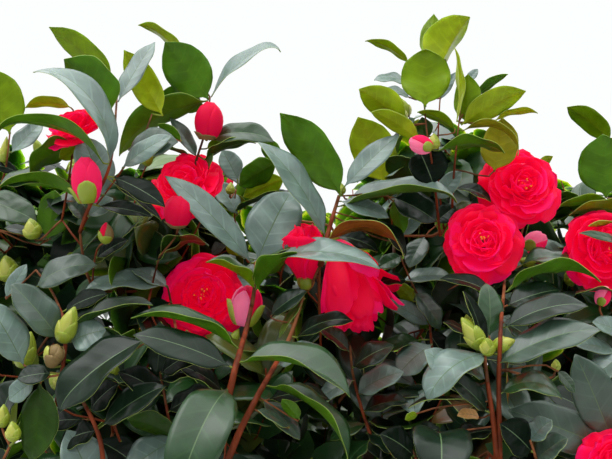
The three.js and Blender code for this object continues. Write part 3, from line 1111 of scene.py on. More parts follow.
def in_width(px, edge=FRAME_EDGE):
    return (px > -edge) & (px < PHOTO_WIDE + edge)


def in_frame(px, py, edge=FRAME_EDGE):
    """True for pixels in the photo's frame, or within an edge round it."""
    return in_width(px, edge) & (py > -edge) & (py < PHOTO_HIGH + edge)


def above_outline(points):
    """True where points, at any depth, would show above the photo's dense foliage."""
    px, py = pixels(points)
    return in_width(px) & (py < np.interp(px, *np.array(DENSE_LINE, float).T))


def in_near_layer(points, layer):
    """True where points lie in the front layer that the near shoots fill."""
    px, py = pixels(points)
    return in_frame(px, py) & (points[..., 1] < front_at(px, py) + layer)


def out_of_room(points):
    """True where points leave the room that the frame's box gives the crown."""
    low, high = np.array(cad_box[0]), np.array(cad_box[1])
    side = (np.abs(points[..., :2]) > np.maximum(-low, high)[:2] + SIDE_ROOM).any(-1)
    return side | (points[..., 2] > high[2] + TOP_ROOM) | (points[..., 2] < FLOOR_ROOM)


def shoot_place(place, out, draw):
    """Where a shoot's tip goes for a place on a mass: behind the near layer and under the outline."""
    px, py = pixels(place)
    if in_near_layer(place, NEAR_LAYER):
        place = place + [0, float(front_at(px, py)) + NEAR_LAYER - place[1], 0]
    tip = place - out * SKIN_DEPTH * draw.uniform(0.6, 1.3)
    for _ in range(SINK_STEPS):
        if not above_outline(tip):
            return tip
        tip = tip - UP * SINK_STEP
    return None


def crowded(tips, tip, gap):
    """True where another tip is nearer than the gap."""
    return len(tips) > 0 and np.min(np.linalg.norm(tips - tip, axis=1)) < gap


def scatter_shoots(draw):
    """Shoots over the open skin of every mass, evenly apart, listed by mass."""
    shoots, tips = {mass.name: [] for mass in masses}, np.empty((0, 3))
    for mass in masses:
        others = [other for other in masses if other is not mass]
        others = [other for other in others if np.linalg.norm(other.centre - mass.centre) < NEIGHBOUR_REACH]
        for place, out in zip(*mass.skin(CANDIDATES, draw)):
            clear = place + out * (CLEAR_OUT if in_view(place) else UNSEEN_CLEAR_OUT)
            if any(other.depth(clear) > 0 for other in others):
                continue
            tip = shoot_place(place, out, draw)
            if tip is None:
                continue
            gap = SHOOT_GAP * (SEEN_GAP if in_view(tip) else 1.0) * draw.uniform(0.85, 1.15)
            if crowded(tips, tip, gap):
                continue
            lift = OPEN_LIFT if out[2] > UNDERSIDE else UNDERSIDE_LIFT
            shoots[mass.name].append(shoot_outward(tip, out, lift, draw))
            tips = np.concatenate([tips, [tip]])
    fill_gaps(shoots, tips, draw)
    return shoots


def fill_gaps(shoots, tips, draw):
    """Adds shoots where the crown's rounded outline passes between the masses, out of the photo's sight."""
    for _ in range(GAP_CANDIDATES):
        turn, level = draw.uniform(0, 2 * math.pi), draw.uniform(-1, 1)
        out = np.array([math.cos(turn), math.sin(turn), 0.0])
        reach = draw.uniform(*GAP_SPREAD) - GAP_DRAWN_IN * abs(level) ** 3
        tip = out * GAP_REACH * reach + UP * (GAP_MIDDLE + GAP_HALF * level)
        depths = [mass.depth(tip) for mass in masses]
        nearest = int(np.argmax(depths))
        hidden = depths[nearest] > 0 or in_view(tip) or above_outline(tip)
        if hidden or crowded(tips, tip, SHOOT_GAP):
            continue
        shoots[masses[nearest].name].append(shoot_outward(tip, out, GAP_LIFT, draw))
        tips = np.concatenate([tips, [tip]])


# Twigs, which carry the shoots back to the limbs

TWIG_TIP = 1.1 * MM
PIPE_POWER = 0.46
BACK_COST, LONG_WAY = 0.8, 0.35
TWIG_STEP = 24 * MM
FORK_LEAN, FORK_WIDER = 0.45, 1.2
OLD_RADIUS, TAN_RADIUS = 2.6 * MM, 1.7 * MM


class Twigs:
    """The twigs of one mass, grown from its limb to one shoot after another."""

    def __init__(self, start, way, radius):
        self.places, self.ways, self.paths, self.parents = [start], [way], [0.0], [-1]
        self.limb_radius = radius
        self.branches = []
        self.ends = []

    def reach(self, goal, way):
        """Grows a twig from the nearest fit place on the wood so far to goal."""
        places = np.array(self.places)
        apart = np.linalg.norm(places - goal, axis=1)
        heads = unit(goal - places)
        back = np.clip(-np.sum(heads * np.array(self.ways), axis=1), 0, 1)
        k = int(np.argmin(apart * (1 + BACK_COST * back) + LONG_WAY * np.array(self.paths)))
        head = heads[k]
        steps = max(3, int(apart[k] / TWIG_STEP) + 2)
        line = bow(places[k], unit(self.ways[k] * FORK_LEAN + head), goal, unit(way * 0.6 + head), steps)
        branch = [k]
        for point, step in zip(line[1:], np.diff(line, axis=0)):
            self.places.append(point)
            self.ways.append(unit(step))
            self.paths.append(self.paths[branch[-1]] + np.linalg.norm(step))
            self.parents.append(branch[-1])
            branch.append(len(self.places) - 1)
        self.branches.append(branch)
        self.ends.append(branch[-1])

    def add_to(self, shells, draw):
        """Adds every branch as a tapering tube, thick enough for the shoots beyond it."""
        load = np.zeros(len(self.places))
        for end in self.ends:
            while end >= 0:
                load[end] += 1
                end = self.parents[end]
        radii = np.minimum(TWIG_TIP * load**PIPE_POWER, self.limb_radius)
        for branch in self.branches:
            points = np.array([self.places[k] for k in branch])
            thick = radii[branch].copy()
            thick[0] = min(thick[0], thick[1] * FORK_WIDER)
            widest = thick[1]
            kind = TWIG_OLD if widest > OLD_RADIUS else TWIG_TAN if widest > TAN_RADIUS else TWIG_RED
            thick = thick * draw.uniform(0.92, 1.12, len(thick))
            shells.add_tube(points, thick, 8 if kind == TWIG_OLD else 6, kind)


# Leaves, blooms and buds of a shoot

SPIRAL = math.radians(144)
LEAF_COUNT = (8, 11)
LEAFY_SHARE = 0.80
LEAF_LENGTHS, LEAF_WIDE = (72, 98), (0.44, 0.52)
TIP_SPREAD, MORE_SPREAD = 32, 40
TIP_DROOP, MORE_DROOP = 0.10, 0.35
TIP_ZONE, TIP_SHORTER = 0.93, 0.25
FACE_UP = 0.9
IN_VIEW_BACK = 0.10
FEWEST_LEAVES = 4

# The odds that a shoot ends in a bloom or in buds, and how clear of the photo's view its bloom stays
BLOOM_ODDS, BUD_ODDS = 0.11, 0.26
BLOOM_MARGIN = 48
BLOOM_BACK = 0.34
HALF_OPEN_ODDS, GREEN_ODDS = 0.18, 0.7
CROWN_STAMENS = 9
BLOOM_STAND, CROWN_CALYX_BACK, CROWN_CALYX = 6 * MM, 3 * MM, (16 * MM, 15 * MM)
BUD_LENGTHS, RED_LONGER, BUD_SLIMNESS = (19, 26), 1.2, 0.62


def shoot_leaves(shoot, draw):
    """The leaves of one shoot: upright at its tip, spreading and drooping lower down."""
    count = draw.integers(*LEAF_COUNT)
    azimuth = draw.uniform(0, 2 * math.pi)
    first = any_square(shoot.at(0.5)[1])
    leaves = []
    for k in range(count):
        share = 1 - LEAFY_SHARE * (k / (count - 1)) ** 0.9
        base, stem = shoot.at(share)
        azimuth += SPIRAL + draw.normal(0, 0.15)
        side = square_to(first, stem)
        out = math.cos(azimuth) * side + math.sin(azimuth) * np.cross(stem, side)
        spread = math.radians(TIP_SPREAD + MORE_SPREAD * (1 - share) / LEAFY_SHARE + draw.normal(0, 8))
        droop = TIP_DROOP + MORE_DROOP * (1 - share)
        along = unit(math.cos(spread) * stem + math.sin(spread) * out - UP * droop)
        length = draw.uniform(*LEAF_LENGTHS) * MM * (1 - TIP_SHORTER * (share > TIP_ZONE))
        leaf = Leaf(
            base=base,
            along=along,
            up=square_to(math.sin(spread) * stem - math.cos(spread) * out + UP * FACE_UP, along),
            length=length,
            width=length * draw.uniform(*LEAF_WIDE),
            arch=math.radians(draw.uniform(12, 52)),
            hook=math.radians(draw.uniform(5, 40)),
            fold=math.radians(draw.uniform(8, 24)),
            camber=draw.uniform(0.0, 0.14),
            wave=draw.uniform(0.02, 0.07),
            phase=draw.uniform(*ANY_PHASE),
            twist=draw.normal(0, 0.22),
            tone=shoot.tone,
        )
        leaves.append(leaf)
    return leaves


def over_bloom(points):
    """True where points would hide one of the photo's own blooms."""
    px, py = pixels(points)
    hidden = np.zeros(px.shape, bool)
    for bloom in NEAR_BLOOMS:
        lean = bloom.across * BLOOM_LEAN
        x, y = bloom.x + bloom.axis[0] * lean, bloom.y - bloom.axis[2] * lean
        before = points[..., 1] < float(front_at(bloom.x, bloom.y)) + bloom.deep * MM
        hidden |= before & (np.hypot(px - x, py - y) < bloom.across * BLOOM_DISC)
    return hidden


def fits(leaves):
    """The leaves that stay under the outline, clear of the near layer and its blooms, and in the room."""
    top, _ = leaf_points(PLAIN_LEAF, leaves)
    bad = above_outline(top) | in_near_layer(top, NEAR_CLEAR) | over_bloom(top) | out_of_room(top)
    return [leaf for leaf, gone in zip(leaves, bad.any(axis=(1, 2))) if not gone]


def in_view(point):
    """True for a place that the photo's view can show: in its frame, in the crown's front half."""
    return point[1] < IN_VIEW_BACK and bool(in_frame(*pixels(point)))


def in_front(point):
    """True for a place in view that lies close behind the crown's front."""
    return in_view(point) and point[1] < front_at(*pixels(point)) + 2 * NEAR_LAYER


# Right of this pixel the crown's inside is given paler leaf tones, painted light, and fewer of the
# painted-shade tone
PAINTED_LIGHT_FROM = 330

# The odds of each leaf tone: on the crown's outside, where the odds of a fresh one rise with its height and a
# few leaves take the painted-sheen tones, and on its inside, with painted shade on the left and painted light
# on the right
FRESH_LOW, FRESH_RISE, FRESH_FROM, FRESH_SEEN = 0.15, 1.2, 0.75, 0.04
OUTER_ODDS = {DEEP: 0.44, DARK: 0.22, OLIVE: 0.02, RUSSET: 0.01, SILVER_PAINTED_SHEEN: 0.02, GREY_PAINTED_SHEEN: 0.10, YOUNG: 0.03}
PAINTED_SHADE_ODDS = {DEEP: 0.08, DARK: 0.24, FRESH: 0.01, OLIVE: 0.01, PAINTED_SHADE: 0.64, GREY_PAINTED_SHEEN: 0.02}
PAINTED_LIGHT_ODDS = {DEEP: 0.16, DARK: 0.28, FRESH: 0.03, OLIVE: 0.01, PAINTED_SHADE: 0.26, SILVER_PAINTED_SHEEN: 0.06, GREY_PAINTED_SHEEN: 0.20}


def tone_odds(tip):
    """The odds of each leaf tone for a shoot with this tip."""
    px, py = pixels(tip)
    if in_view(tip) and tip[1] > front_at(px, py) + 2 * NEAR_LAYER:
        return PAINTED_SHADE_ODDS if px < PAINTED_LIGHT_FROM else PAINTED_LIGHT_ODDS
    high = FRESH_LOW + FRESH_RISE * max(0, tip[2] / cad_box[1][2] - FRESH_FROM)
    return OUTER_ODDS | {FRESH: FRESH_SEEN if in_view(tip) else high}


def dress(shoot, draw):
    """Gives a shoot its tone and the leaves that fit, and says whether it is worth keeping."""
    odds = tone_odds(shoot.path[-1])
    odds = np.array([odds.get(tone, 0.0) for tone in range(len(TONES))])
    shoot.tone = int(draw.choice(len(TONES), p=odds / odds.sum()))
    shoot.leaves = fits(shoot_leaves(shoot, draw))
    return len(shoot.leaves) >= FEWEST_LEAVES


def near_photo(point):
    """True where a bloom could show in the photo's view, or reach into it from its edge."""
    return point[1] < BLOOM_BACK and bool(in_frame(*pixels(point), BLOOM_MARGIN))


def crown_tip(shells, shoot, draw):
    """Ends a shoot in a bloom or buds, where the photo's own blooms and buds don't stand."""
    tip, stem = shoot.at(1.0)
    chance = draw.random()
    if chance < BLOOM_ODDS and not near_photo(tip):
        axis = unit(shoot.way + unit(tip * [1, 1, 0.2]) * 0.8 + draw.normal(0, 0.25, 3))
        size = draw.uniform(0.88, 1.04)
        rings = HALF_OPEN_RINGS if draw.random() < HALF_OPEN_ODDS else SIMPLE_RINGS
        centre = tip + stem * BLOOM_STAND
        add_leaves(shells, PLAIN_PETAL, bloom_petals(centre, axis, size, rings, draw), PETAL_SKINS)
        add_stamens(shells, centre, axis, size, CROWN_STAMENS, draw)
        add_bud(shells, tip - axis * CROWN_CALYX_BACK, axis, *CROWN_CALYX, CALYX)
    elif chance < BLOOM_ODDS + BUD_ODDS:
        bud = GREEN_BUD if in_view(tip) or draw.random() < GREEN_ODDS else RED_BUD
        for _ in range(draw.integers(1, 3)):
            way = unit(stem + draw.normal(0, 0.35, 3))
            length = draw.uniform(*BUD_LENGTHS) * MM * (RED_LONGER if bud is RED_BUD else 1)
            add_bud(shells, tip, way, length, length * BUD_SLIMNESS, bud)


# The photo's own shoots, blooms and buds, by its pixels and millimetres of depth

Blade = namedtuple(
    "Blade", "x y tip_x tip_y width turn arch out tone fold hook twist back", defaults=(14, 12, 0, 0)
)
Spray = namedtuple("Spray", "stem thick blades")

# Each spray: its stem's points in pixels and millimetres behind the crown's front, and its thickness in
# millimetres at its foot and tip. Each blade: its base and tip in pixels, its width in pixels, its turn
# (0 shows its top, 90 its edge, 180 its underside) and its arch in degrees, how far its tip comes forward
# in millimetres, its tone, then its fold, the hook of its tip and its twist in degrees, and how far its
# base lies back in millimetres
NEAR_SPRAYS = (
    Spray(
        (
            (80, 232, 58), (88, 208, 44), (103, 184, 30), (109, 170, 24),
            (112, 156, 20), (114, 140, 20), (117, 96, 28),
        ),
        (4.6, 2.2),
        (
            Blade(112, 115, 64, 59, 52, 142, 40, 16, DEEP, 34),
            Blade(114, 84, 49, 27, 30, 150, 35, -8, FRESH, 10),
            Blade(109, 166, 33, 72, 40, 53, 114, 25, SILVER_PAINTED_SHEEN, 14),
            Blade(104, 196, 82, 136, 40, 22, 20, 0, SILVER_PAINTED_SHEEN, 14, 12, 0, 14),
            Blade(104, 164, -4, 142, 31, 112, 102, 34, DEEP, 18, 60),
            Blade(118, 102, 155, 42, 24, 38, 12, -30, SILVER_PAINTED_SHEEN, 14),
            Blade(113, 177, 165, 207, 28, 42, 25, 14, PAINTED_SHADE, 14),
            Blade(111, 181, 162, 221, 14, 55, 15, 6, PAINTED_SHADE),
            Blade(98, 206, 152, 217, 22, 50, 20, 2, PAINTED_SHADE, 14, 12, 0, 12),
            Blade(88, 217, 113, 198, 20, 25, 15, -12, SILVER_PAINTED_SHEEN, 24),
            Blade(84, 220, 68, 203, 18, 40, 50, 4, GREY_PAINTED_SHEEN, 20, 30),
        ),
    ),
    Spray(
        ((92, 286, 66), (94, 262, 54), (98, 240, 46), (104, 243, 42)),
        (2.6, 1.8),
        (
            Blade(101, 262, 148, 215, 16, 82, 12, 6, DARK, 10, 12, 0, 4),
            Blade(96, 258, 128, 240, 20, 50, 20, 4, PAINTED_SHADE),
        ),
    ),
    Spray(
        ((62, 220, 76), (68, 186, 64), (73, 150, 52), (75, 122, 48)),
        (2.8, 1.8),
        (
            Blade(72, 108, 25, 108, 19, 128, 60, 8, YOUNG, 14, 20, 0, -12),
            Blade(80, 146, 30, 174, 44, 122, 64, 16, DEEP, 14),
            Blade(80, 148, 59, 158, 18, 150, 20, 10, FRESH),
            Blade(52, 176, 0, 184, 26, 50, 30, 14, DEEP, 12),
            Blade(83, 201, -2, 188, 36, 112, 66, 30, DEEP, 22, 12, 0, -20),
        ),
    ),
    Spray(
        ((-14, 240, 50), (-4, 200, 38), (6, 170, 30), (10, 132, 28)),
        (3.0, 2.0),
        (
            Blade(10, 134, -10, 68, 46, 165, 15, 5, FRESH, 8),
            Blade(11, 153, 43, 122, 22, 30, 12, -24, SILVER_PAINTED_SHEEN),
            Blade(-20, 198, 37, 222, 36, 30, 26, 16, DEEP, 12),
            Blade(48, 240, 4, 228, 24, 60, 20, 6, DARK),
            Blade(47, 240, 55, 190, 36, 152, 15, 12, DEEP),
            Blade(50, 240, 71, 212, 13, 30, 10, -10, DEEP),
            Blade(18, 172, -12, 164, 16, 40, 30, 6, PAINTED_SHADE),
        ),
    ),
    Spray(
        ((118, 176, 44), (134, 152, 48), (147, 130, 46), (152, 114, 44)),
        (2.4, 1.8),
        (
            Blade(163, 116, 124, 50, 30, 170, 15, -10, YOUNG, 8, 10),
            Blade(182, 141, 158, 124, 14, 150, 10, 2, DEEP, 10),
            Blade(128, 150, 178, 142, 34, 34, 50, 12, GREY_PAINTED_SHEEN, 12),
            Blade(122, 168, 172, 136, 24, 38, 32, 10, SILVER_PAINTED_SHEEN, 12),
        ),
    ),
    Spray(
        ((182, 226, 64), (190, 196, 48), (196, 159, 30), (203, 141, 24), (208, 120, 22), (210, 97, 22)),
        (4.2, 2.0),
        (
            Blade(209, 100, 165, 42, 46, 172, 20, 6, DEEP, 6, 20),
            Blade(211, 97, 281, 52, 27, 66, 48, 14, SILVER_PAINTED_SHEEN, 16, 80),
            Blade(205, 106, 157, 98, 30, 150, 46, -10, DEEP, 10, 12, 0, 8),
            Blade(208, 101, 119, 156, 46, 126, 66, 32, DEEP, 12),
            Blade(186, 62, 138, 25, 22, 120, 44, -10, YOUNG, 14, 30, 0, 24),
            Blade(209, 140, 274, 142, 32, 52, 66, 14, DEEP, 12),
            Blade(204, 160, 256, 143, 32, 108, 45, 14, DARK, 12),
            Blade(206, 149, 230, 138, 12, 150, 20, 4, FRESH),
            Blade(205, 171, 213, 153, 14, 60, 10, 10, FRESH),
            Blade(197, 158, 170, 118, 18, 40, 15, 4, GREY_PAINTED_SHEEN, 14, 12, 0, 12),
            Blade(192, 158, 158, 147, 20, 100, 20, 4, DARK, 14, 12, 0, 14),
        ),
    ),
    Spray(
        ((248, 262, 80), (238, 236, 66), (233, 212, 54), (236, 190, 52)),
        (2.8, 1.8),
        (
            Blade(232, 213, 304, 195, 34, 92, 32, 20, DARK, 18),
            Blade(228, 231, 178, 225, 28, 60, 40, 8, PAINTED_SHADE),
            Blade(238, 180, 222, 150, 24, 20, 12, 6, SILVER_PAINTED_SHEEN),
            Blade(238, 215, 212, 182, 30, 50, 25, 4, SILVER_PAINTED_SHEEN),
            Blade(211, 256, 233, 232, 14, 30, 20, 6, SILVER_PAINTED_SHEEN),
            Blade(238, 256, 226, 244, 12, 150, 10, 4, FRESH),
        ),
    ),
    Spray(
        ((302, 240, 76), (296, 204, 58), (286, 178, 46), (279, 162, 44)),
        (2.6, 1.8),
        (
            Blade(278, 162, 239, 186, 30, 150, 22, 8, DEEP, 12),
            Blade(286, 178, 243, 197, 24, 160, 20, 2, YOUNG, 10),
            Blade(290, 190, 252, 214, 30, 60, 30, 6, DARK),
            Blade(280, 166, 262, 140, 22, 150, 20, -4, DEEP),
        ),
    ),
    Spray(
        ((320, 266, 52), (325, 244, 38), (328, 233, 16), (334, 212, -70), (339, 196, -116)),
        (6.5, 4.0),
        (
            Blade(326, 238, 258, 142, 42, 54, 36, 26, SILVER_PAINTED_SHEEN, 12),
            Blade(342, 196, 280, 113, 46, 152, 24, 8, DEEP, 10),
            Blade(344, 187, 399, 135, 28, 32, 12, -4, SILVER_PAINTED_SHEEN, 12),
            Blade(341, 206, 457, 203, 56, 78, 26, 14, SILVER_PAINTED_SHEEN, 32, 56),
            Blade(340, 201, 389, 218, 28, 52, 20, 10, SILVER_PAINTED_SHEEN, 14),
            Blade(325, 242, 404, 257, 36, 108, 120, 34, RUSSET, 10, 0),
            Blade(336, 236, 378, 252, 32, 60, 40, 2, PAINTED_SHADE, 14, 12, 0, 22),
            Blade(370, 222, 406, 256, 30, 60, 60, 2, PAINTED_SHADE, 14, 12, 0, 12),
            Blade(392, 197, 436, 222, 40, 42, 30, 10, DARK, 14, 12, 0, 20),
            Blade(393, 200, 404, 233, 20, 150, 15, 6, DEEP, 14, 12, 0, 24),
            Blade(402, 236, 424, 212, 14, 20, 10, 4, SILVER_PAINTED_SHEEN, 14, 12, 0, 30),
        ),
    ),
    Spray(
        ((440, 236, 76), (437, 205, 60), (434, 175, 44), (430, 150, 34), (427, 135, 28), (424, 103, 25)),
        (3.4, 1.6),
        (
            Blade(425, 107, 426, 49, 50, 178, 12, 2, FRESH, 4, 86),
            Blade(406, 125, 359, 89, 36, 150, 30, 8, YOUNG, 16, 12, 0, 6),
            Blade(420, 142, 371, 112, 24, 140, 40, 14, YOUNG, 12),
            Blade(425, 140, 422, 117, 19, 150, 10, 2, DARK, 14, 12, 0, 12),
            Blade(456, 130, 417, 112, 20, 122, 46, 6, FRESH, 12, 12, 0, 8),
            Blade(420, 152, 433, 184, 48, 15, 20, 12, PAINTED_SHADE, 44, 20, 0, 16),
            Blade(438, 151, 505, 153, 40, 108, 60, 20, DEEP, 12),
            Blade(436, 200, 462, 171, 22, 30, 12, 12, SILVER_PAINTED_SHEEN),
            Blade(408, 124, 414, 118, 8, 30, 0, 2, DEEP),
        ),
    ),
    Spray(
        ((444, 230, 88), (438, 180, 72), (438, 135, 60), (440, 96, 54), (446, 60, 50)),
        (2.6, 1.4),
        (
            Blade(437, 74, 470, 17, 56, 140, 24, -10, YOUNG, 52, 20),
            Blade(427, 58, 434, 14, 22, 170, 12, -20, FRESH, 10, 12, 0, 10),
            Blade(410, 64, 365, 41, 18, 122, 45, 6, YOUNG, 16, 20),
            Blade(410, 84, 374, 80, 20, 62, 50, 6, SILVER_PAINTED_SHEEN, 14),
            Blade(410, 98, 388, 87, 12, 55, 20, 4, SILVER_PAINTED_SHEEN),
            Blade(440, 100, 456, 72, 11, 28, 10, 4, SILVER_PAINTED_SHEEN),
        ),
    ),
    Spray(
        ((452, 214, 80), (453, 185, 62), (455, 160, 50), (457, 140, 40), (459, 122, 36)),
        (3.0, 1.8),
        (
            Blade(457, 122, 455, 48, 26, 106, 20, 8, YOUNG, 14),
            Blade(466, 124, 468, 74, 28, 168, 12, 2, FRESH, 10, 12, 0, 6),
            Blade(461, 125, 526, 91, 32, 148, 40, 12, YOUNG, 10),
            Blade(473, 98, 508, 74, 15, 128, 20, 4, DEEP, 14, 12, 0, 24),
            Blade(467, 82, 478, 69, 10, 30, 10, 2, SILVER_PAINTED_SHEEN, 14, 12, 0, 20),
            Blade(462, 131, 518, 156, 27, 105, 122, 20, OLIVE, 14),
            Blade(494, 172, 503, 118, 38, 165, 15, 0, OLIVE, 8, 30, 0, 16),
            Blade(494, 121, 538, 113, 18, 112, 50, 8, YOUNG, 12, 12, 0, 14),
            Blade(455, 188, 491, 202, 26, 66, 52, 10, PAINTED_SHADE),
            Blade(452, 215, 471, 202, 14, 40, 12, 6, OLIVE),
            Blade(436, 222, 456, 206, 22, 30, 10, 6, DARK),
            Blade(425, 236, 409, 268, 24, 28, 20, 18, GREY_PAINTED_SHEEN),
        ),
    ),
    Spray(
        ((640, 290, 60), (630, 250, 44), (622, 214, 34), (616, 180, 28), (612, 138, 26)),
        (3.0, 1.8),
        (
            Blade(612, 143, 567, 107, 26, 150, 40, 12, FRESH, 10),
            Blade(606, 198, 603, 134, 52, 176, 12, 4, DEEP, 4),
            Blade(613, 205, 555, 210, 26, 112, 48, 16, YOUNG, 14),
            Blade(626, 212, 569, 215, 40, 112, 40, 22, FRESH, 14),
            Blade(628, 229, 588, 226, 12, 130, 20, 44, OLIVE),
            Blade(630, 246, 579, 233, 11, 40, 20, 44, DEEP),
        ),
    ),
    Spray(
        ((228, 400, 18), (235, 368, 10), (242, 345, 6), (248.7, 320, 2), (254.5, 292, 0), (256, 262, -2)),
        (7.5, 3.6),
        (
            Blade(252, 264, 165, 176, 30, 28, 36, -4, SILVER_PAINTED_SHEEN, 12),
            Blade(257, 261, 291, 192, 54, 12, 44, -28, SILVER_PAINTED_SHEEN, 8),
            Blade(262, 258, 304, 241, 16, 60, 16, 4, FRESH),
            Blade(256, 290, 206, 262, 38, 82, 40, 12, FRESH, 44),
            Blade(256, 290, 297, 252, 52, 112, 30, 16, DEEP, 26),
            Blade(264, 262, 380, 269, 38, 56, 54, 46, SILVER_PAINTED_SHEEN, 24),
            Blade(238, 348, 131, 318, 46, 79, 42, 24, DEEP, 43),
            Blade(231, 367, 133, 335, 38, 36, 32, 18, DARK, 12),
            Blade(241, 362, 350, 397, 60, 64, 58, 30, DEEP, 40),
            Blade(228, 389, 178, 500, 56, 14, 100, 76, DEEP, 18, 12, 10),
            Blade(223, 392, 176, 366, 30, 60, 40, 6, PAINTED_SHADE, 12, 12, 0, 20),
        ),
    ),
    Spray(
        ((148, 304, 62), (154, 276, 48), (159, 258, 40)),
        (3.0, 2.0),
        (
            Blade(159, 256, 209, 246, 42, 108, 86, 14, DARK, 12),
            Blade(156, 262, 184, 238, 34, 70, 40, 4, PAINTED_SHADE, 14),
        ),
    ),
    Spray(
        (
            (220, 476, 24), (229, 458, 20), (239, 432, 16), (259, 393, 14), (277, 362, 14), (290, 338, 20),
            (298, 314, 28), (303, 296, 36),
        ),
        (8.0, 3.6),
        (
            Blade(268, 386, 348, 460, 50, 77, 60, 28, DEEP, 34),
            Blade(300, 420, 282, 399, 16, 150, 12, 10, DEEP),
            Blade(290, 428, 258, 410, 20, 60, 20, 10, GREY_PAINTED_SHEEN),
            Blade(296, 338, 353, 321, 36, 62, 56, 10, PAINTED_SHADE, 12),
            Blade(276, 366, 326, 350, 34, 55, 36, 8, SILVER_PAINTED_SHEEN, 12, 12, 0, 12),
            Blade(262, 400, 300, 440, 30, 50, 26, 10, GREY_PAINTED_SHEEN, 12, 12, 0, 14),
            Blade(270, 316, 307, 291, 24, 42, 30, 6, DARK, 12, 12, 0, 10),
            Blade(305, 298, 279, 338, 15, 60, 20, 6, YOUNG),
            Blade(268, 400, 330, 400, 40, 60, 50, 2, PAINTED_SHADE, 14, 12, 0, 44),
        ),
    ),
    Spray(
        ((497, 458, 22), (494, 425, 16), (491, 405, 14), (487, 380, 10), (484, 350, 8)),
        (6.5, 3.4),
        (
            Blade(486, 354, 428, 402, 54, 52, 72, 24, SILVER_PAINTED_SHEEN, 12),
            Blade(488, 412, 447, 376, 34, 50, 30, 4, DARK),
            Blade(438, 433, 440, 482, 60, 10, 96, 60, DARK, 22, 12, 0, -10),
            Blade(488, 412, 408, 408, 30, 84, 56, 10, PAINTED_SHADE, 14),
            Blade(462, 388, 424, 350, 34, 40, 30, 2, SILVER_PAINTED_SHEEN, 14, 12, 0, 20),
            Blade(480, 418, 457, 416, 14, 40, 70, 2, DRY, 20, 30, 0, 16),
            Blade(418, 413, 405, 420, 9, 150, 20, 2, FRESH, 14, 12, 0, 20),
            Blade(486, 354, 463, 291, 26, 62, 20, 4, PAINTED_SHADE, 14, 12, 0, 10),
            Blade(484, 350, 443, 322, 28, 70, 40, 2, PAINTED_SHADE, 14, 12, 0, 12),
            Blade(486, 380, 450, 356, 34, 60, 40, 2, GREY_PAINTED_SHEEN, 14, 12, 0, 16),
            Blade(494, 430, 452, 444, 36, 60, 40, 8, PAINTED_SHADE, 14, 12, 0, 16),
        ),
    ),
    Spray(
        (
            (500, 462, 26), (498.7, 400, 16), (499, 366, 12),
            (501, 322, -40), (504, 290, -100), (505, 274, -20),
        ),
        (5.5, 3.0),
        (
            Blade(497, 364, 601, 330, 46, 46, 42, 20, GREY_PAINTED_SHEEN, 12),
            Blade(504, 328, 588, 306, 36, 48, 54, 8, DARK, 12),
            Blade(507, 292, 601, 282, 50, 102, 76, 26, DEEP, 24),
            Blade(520, 266, 579, 269, 44, 72, 80, 10, DEEP, 18),
            Blade(500, 394, 562, 399, 44, 62, 108, 14, DEEP, 12),
            Blade(557, 370, 575, 393, 14, 40, 20, 6, DEEP),
            Blade(489, 338, 486, 283, 30, 34, 24, -30, DEEP, 14, 30, 0, 30),
            Blade(500, 300, 440, 279, 26, 60, 44, 10, PAINTED_SHADE),
            Blade(506, 306, 560, 290, 34, 40, 30, 4, DARK, 14, 12, 0, 20),
            Blade(502, 322, 530, 340, 34, 60, 30, 2, DARK, 14, 12, 0, 24),
        ),
    ),
    Spray(
        ((640, 480, 24), (622, 452, 18), (612, 420, 16), (616, 380, 16), (622, 340, 18)),
        (5.0, 2.8),
        (
            Blade(606, 447, 508, 410, 46, 16, 16, 16, GREY_PAINTED_SHEEN, 12),
            Blade(611, 438, 575, 354, 44, 14, 20, 6, GREY_PAINTED_SHEEN, 10),
            Blade(630, 350, 583, 392, 32, 36, 30, 16, SILVER_PAINTED_SHEEN, 14, 12, 0, -14),
            Blade(626, 335, 592, 322, 24, 40, 24, 16, SILVER_PAINTED_SHEEN),
            Blade(616, 352, 572, 344, 24, 50, 28, 4, SILVER_PAINTED_SHEEN),
            Blade(600, 420, 545, 392, 36, 40, 30, 0, DARK, 14, 12, 0, 20),
            Blade(622, 300, 575, 294, 34, 96, 50, 10, DARK, 14, 12, 0, 10),
        ),
    ),
    Spray(
        ((545, 500, 44), (540, 470, 36), (530, 440, 30)),
        (4.4, 2.6),
        (
            Blade(532, 452, 500, 424, 40, 34, 30, 8, PAINTED_SHADE),
            Blade(536, 462, 568, 438, 36, 50, 34, 6, GREY_PAINTED_SHEEN),
            Blade(540, 476, 506, 468, 38, 60, 40, 10, PAINTED_SHADE),
            Blade(542, 480, 578, 470, 36, 55, 40, 8, DARK),
            Blade(530, 442, 552, 420, 34, 50, 30, 2, SILVER_PAINTED_SHEEN),
        ),
    ),
    Spray(
        ((418, 500, 44), (420, 470, 36), (410, 444, 34)),
        (4.4, 2.6),
        (
            Blade(414, 456, 380, 434, 38, 40, 34, 8, PAINTED_SHADE),
            Blade(418, 470, 386, 474, 38, 60, 40, 8, DARK),
            Blade(424, 476, 470, 466, 40, 55, 40, 8, DARK),
            Blade(500, 480, 452, 462, 30, 120, 40, 10, DEEP),
            Blade(410, 446, 440, 428, 36, 50, 30, 2, PAINTED_SHADE),
        ),
    ),
    Spray(
        ((432, 350, 50), (429, 314, -60), (413, 287, 38), (409, 276, 38), (400, 256, 40)),
        (3.4, 2.2),
        (
            Blade(402, 281, 454, 279, 26, 56, 46, 8, SILVER_PAINTED_SHEEN),
            Blade(402, 256, 378, 268, 18, 30, 20, 8, DEEP),
            Blade(430, 326, 382, 301, 22, 40, 30, 10, SILVER_PAINTED_SHEEN),
            Blade(460, 284, 436, 308, 36, 150, 24, 6, PAINTED_SHADE),
            Blade(414, 302, 396, 284, 18, 150, 12, 4, FRESH),
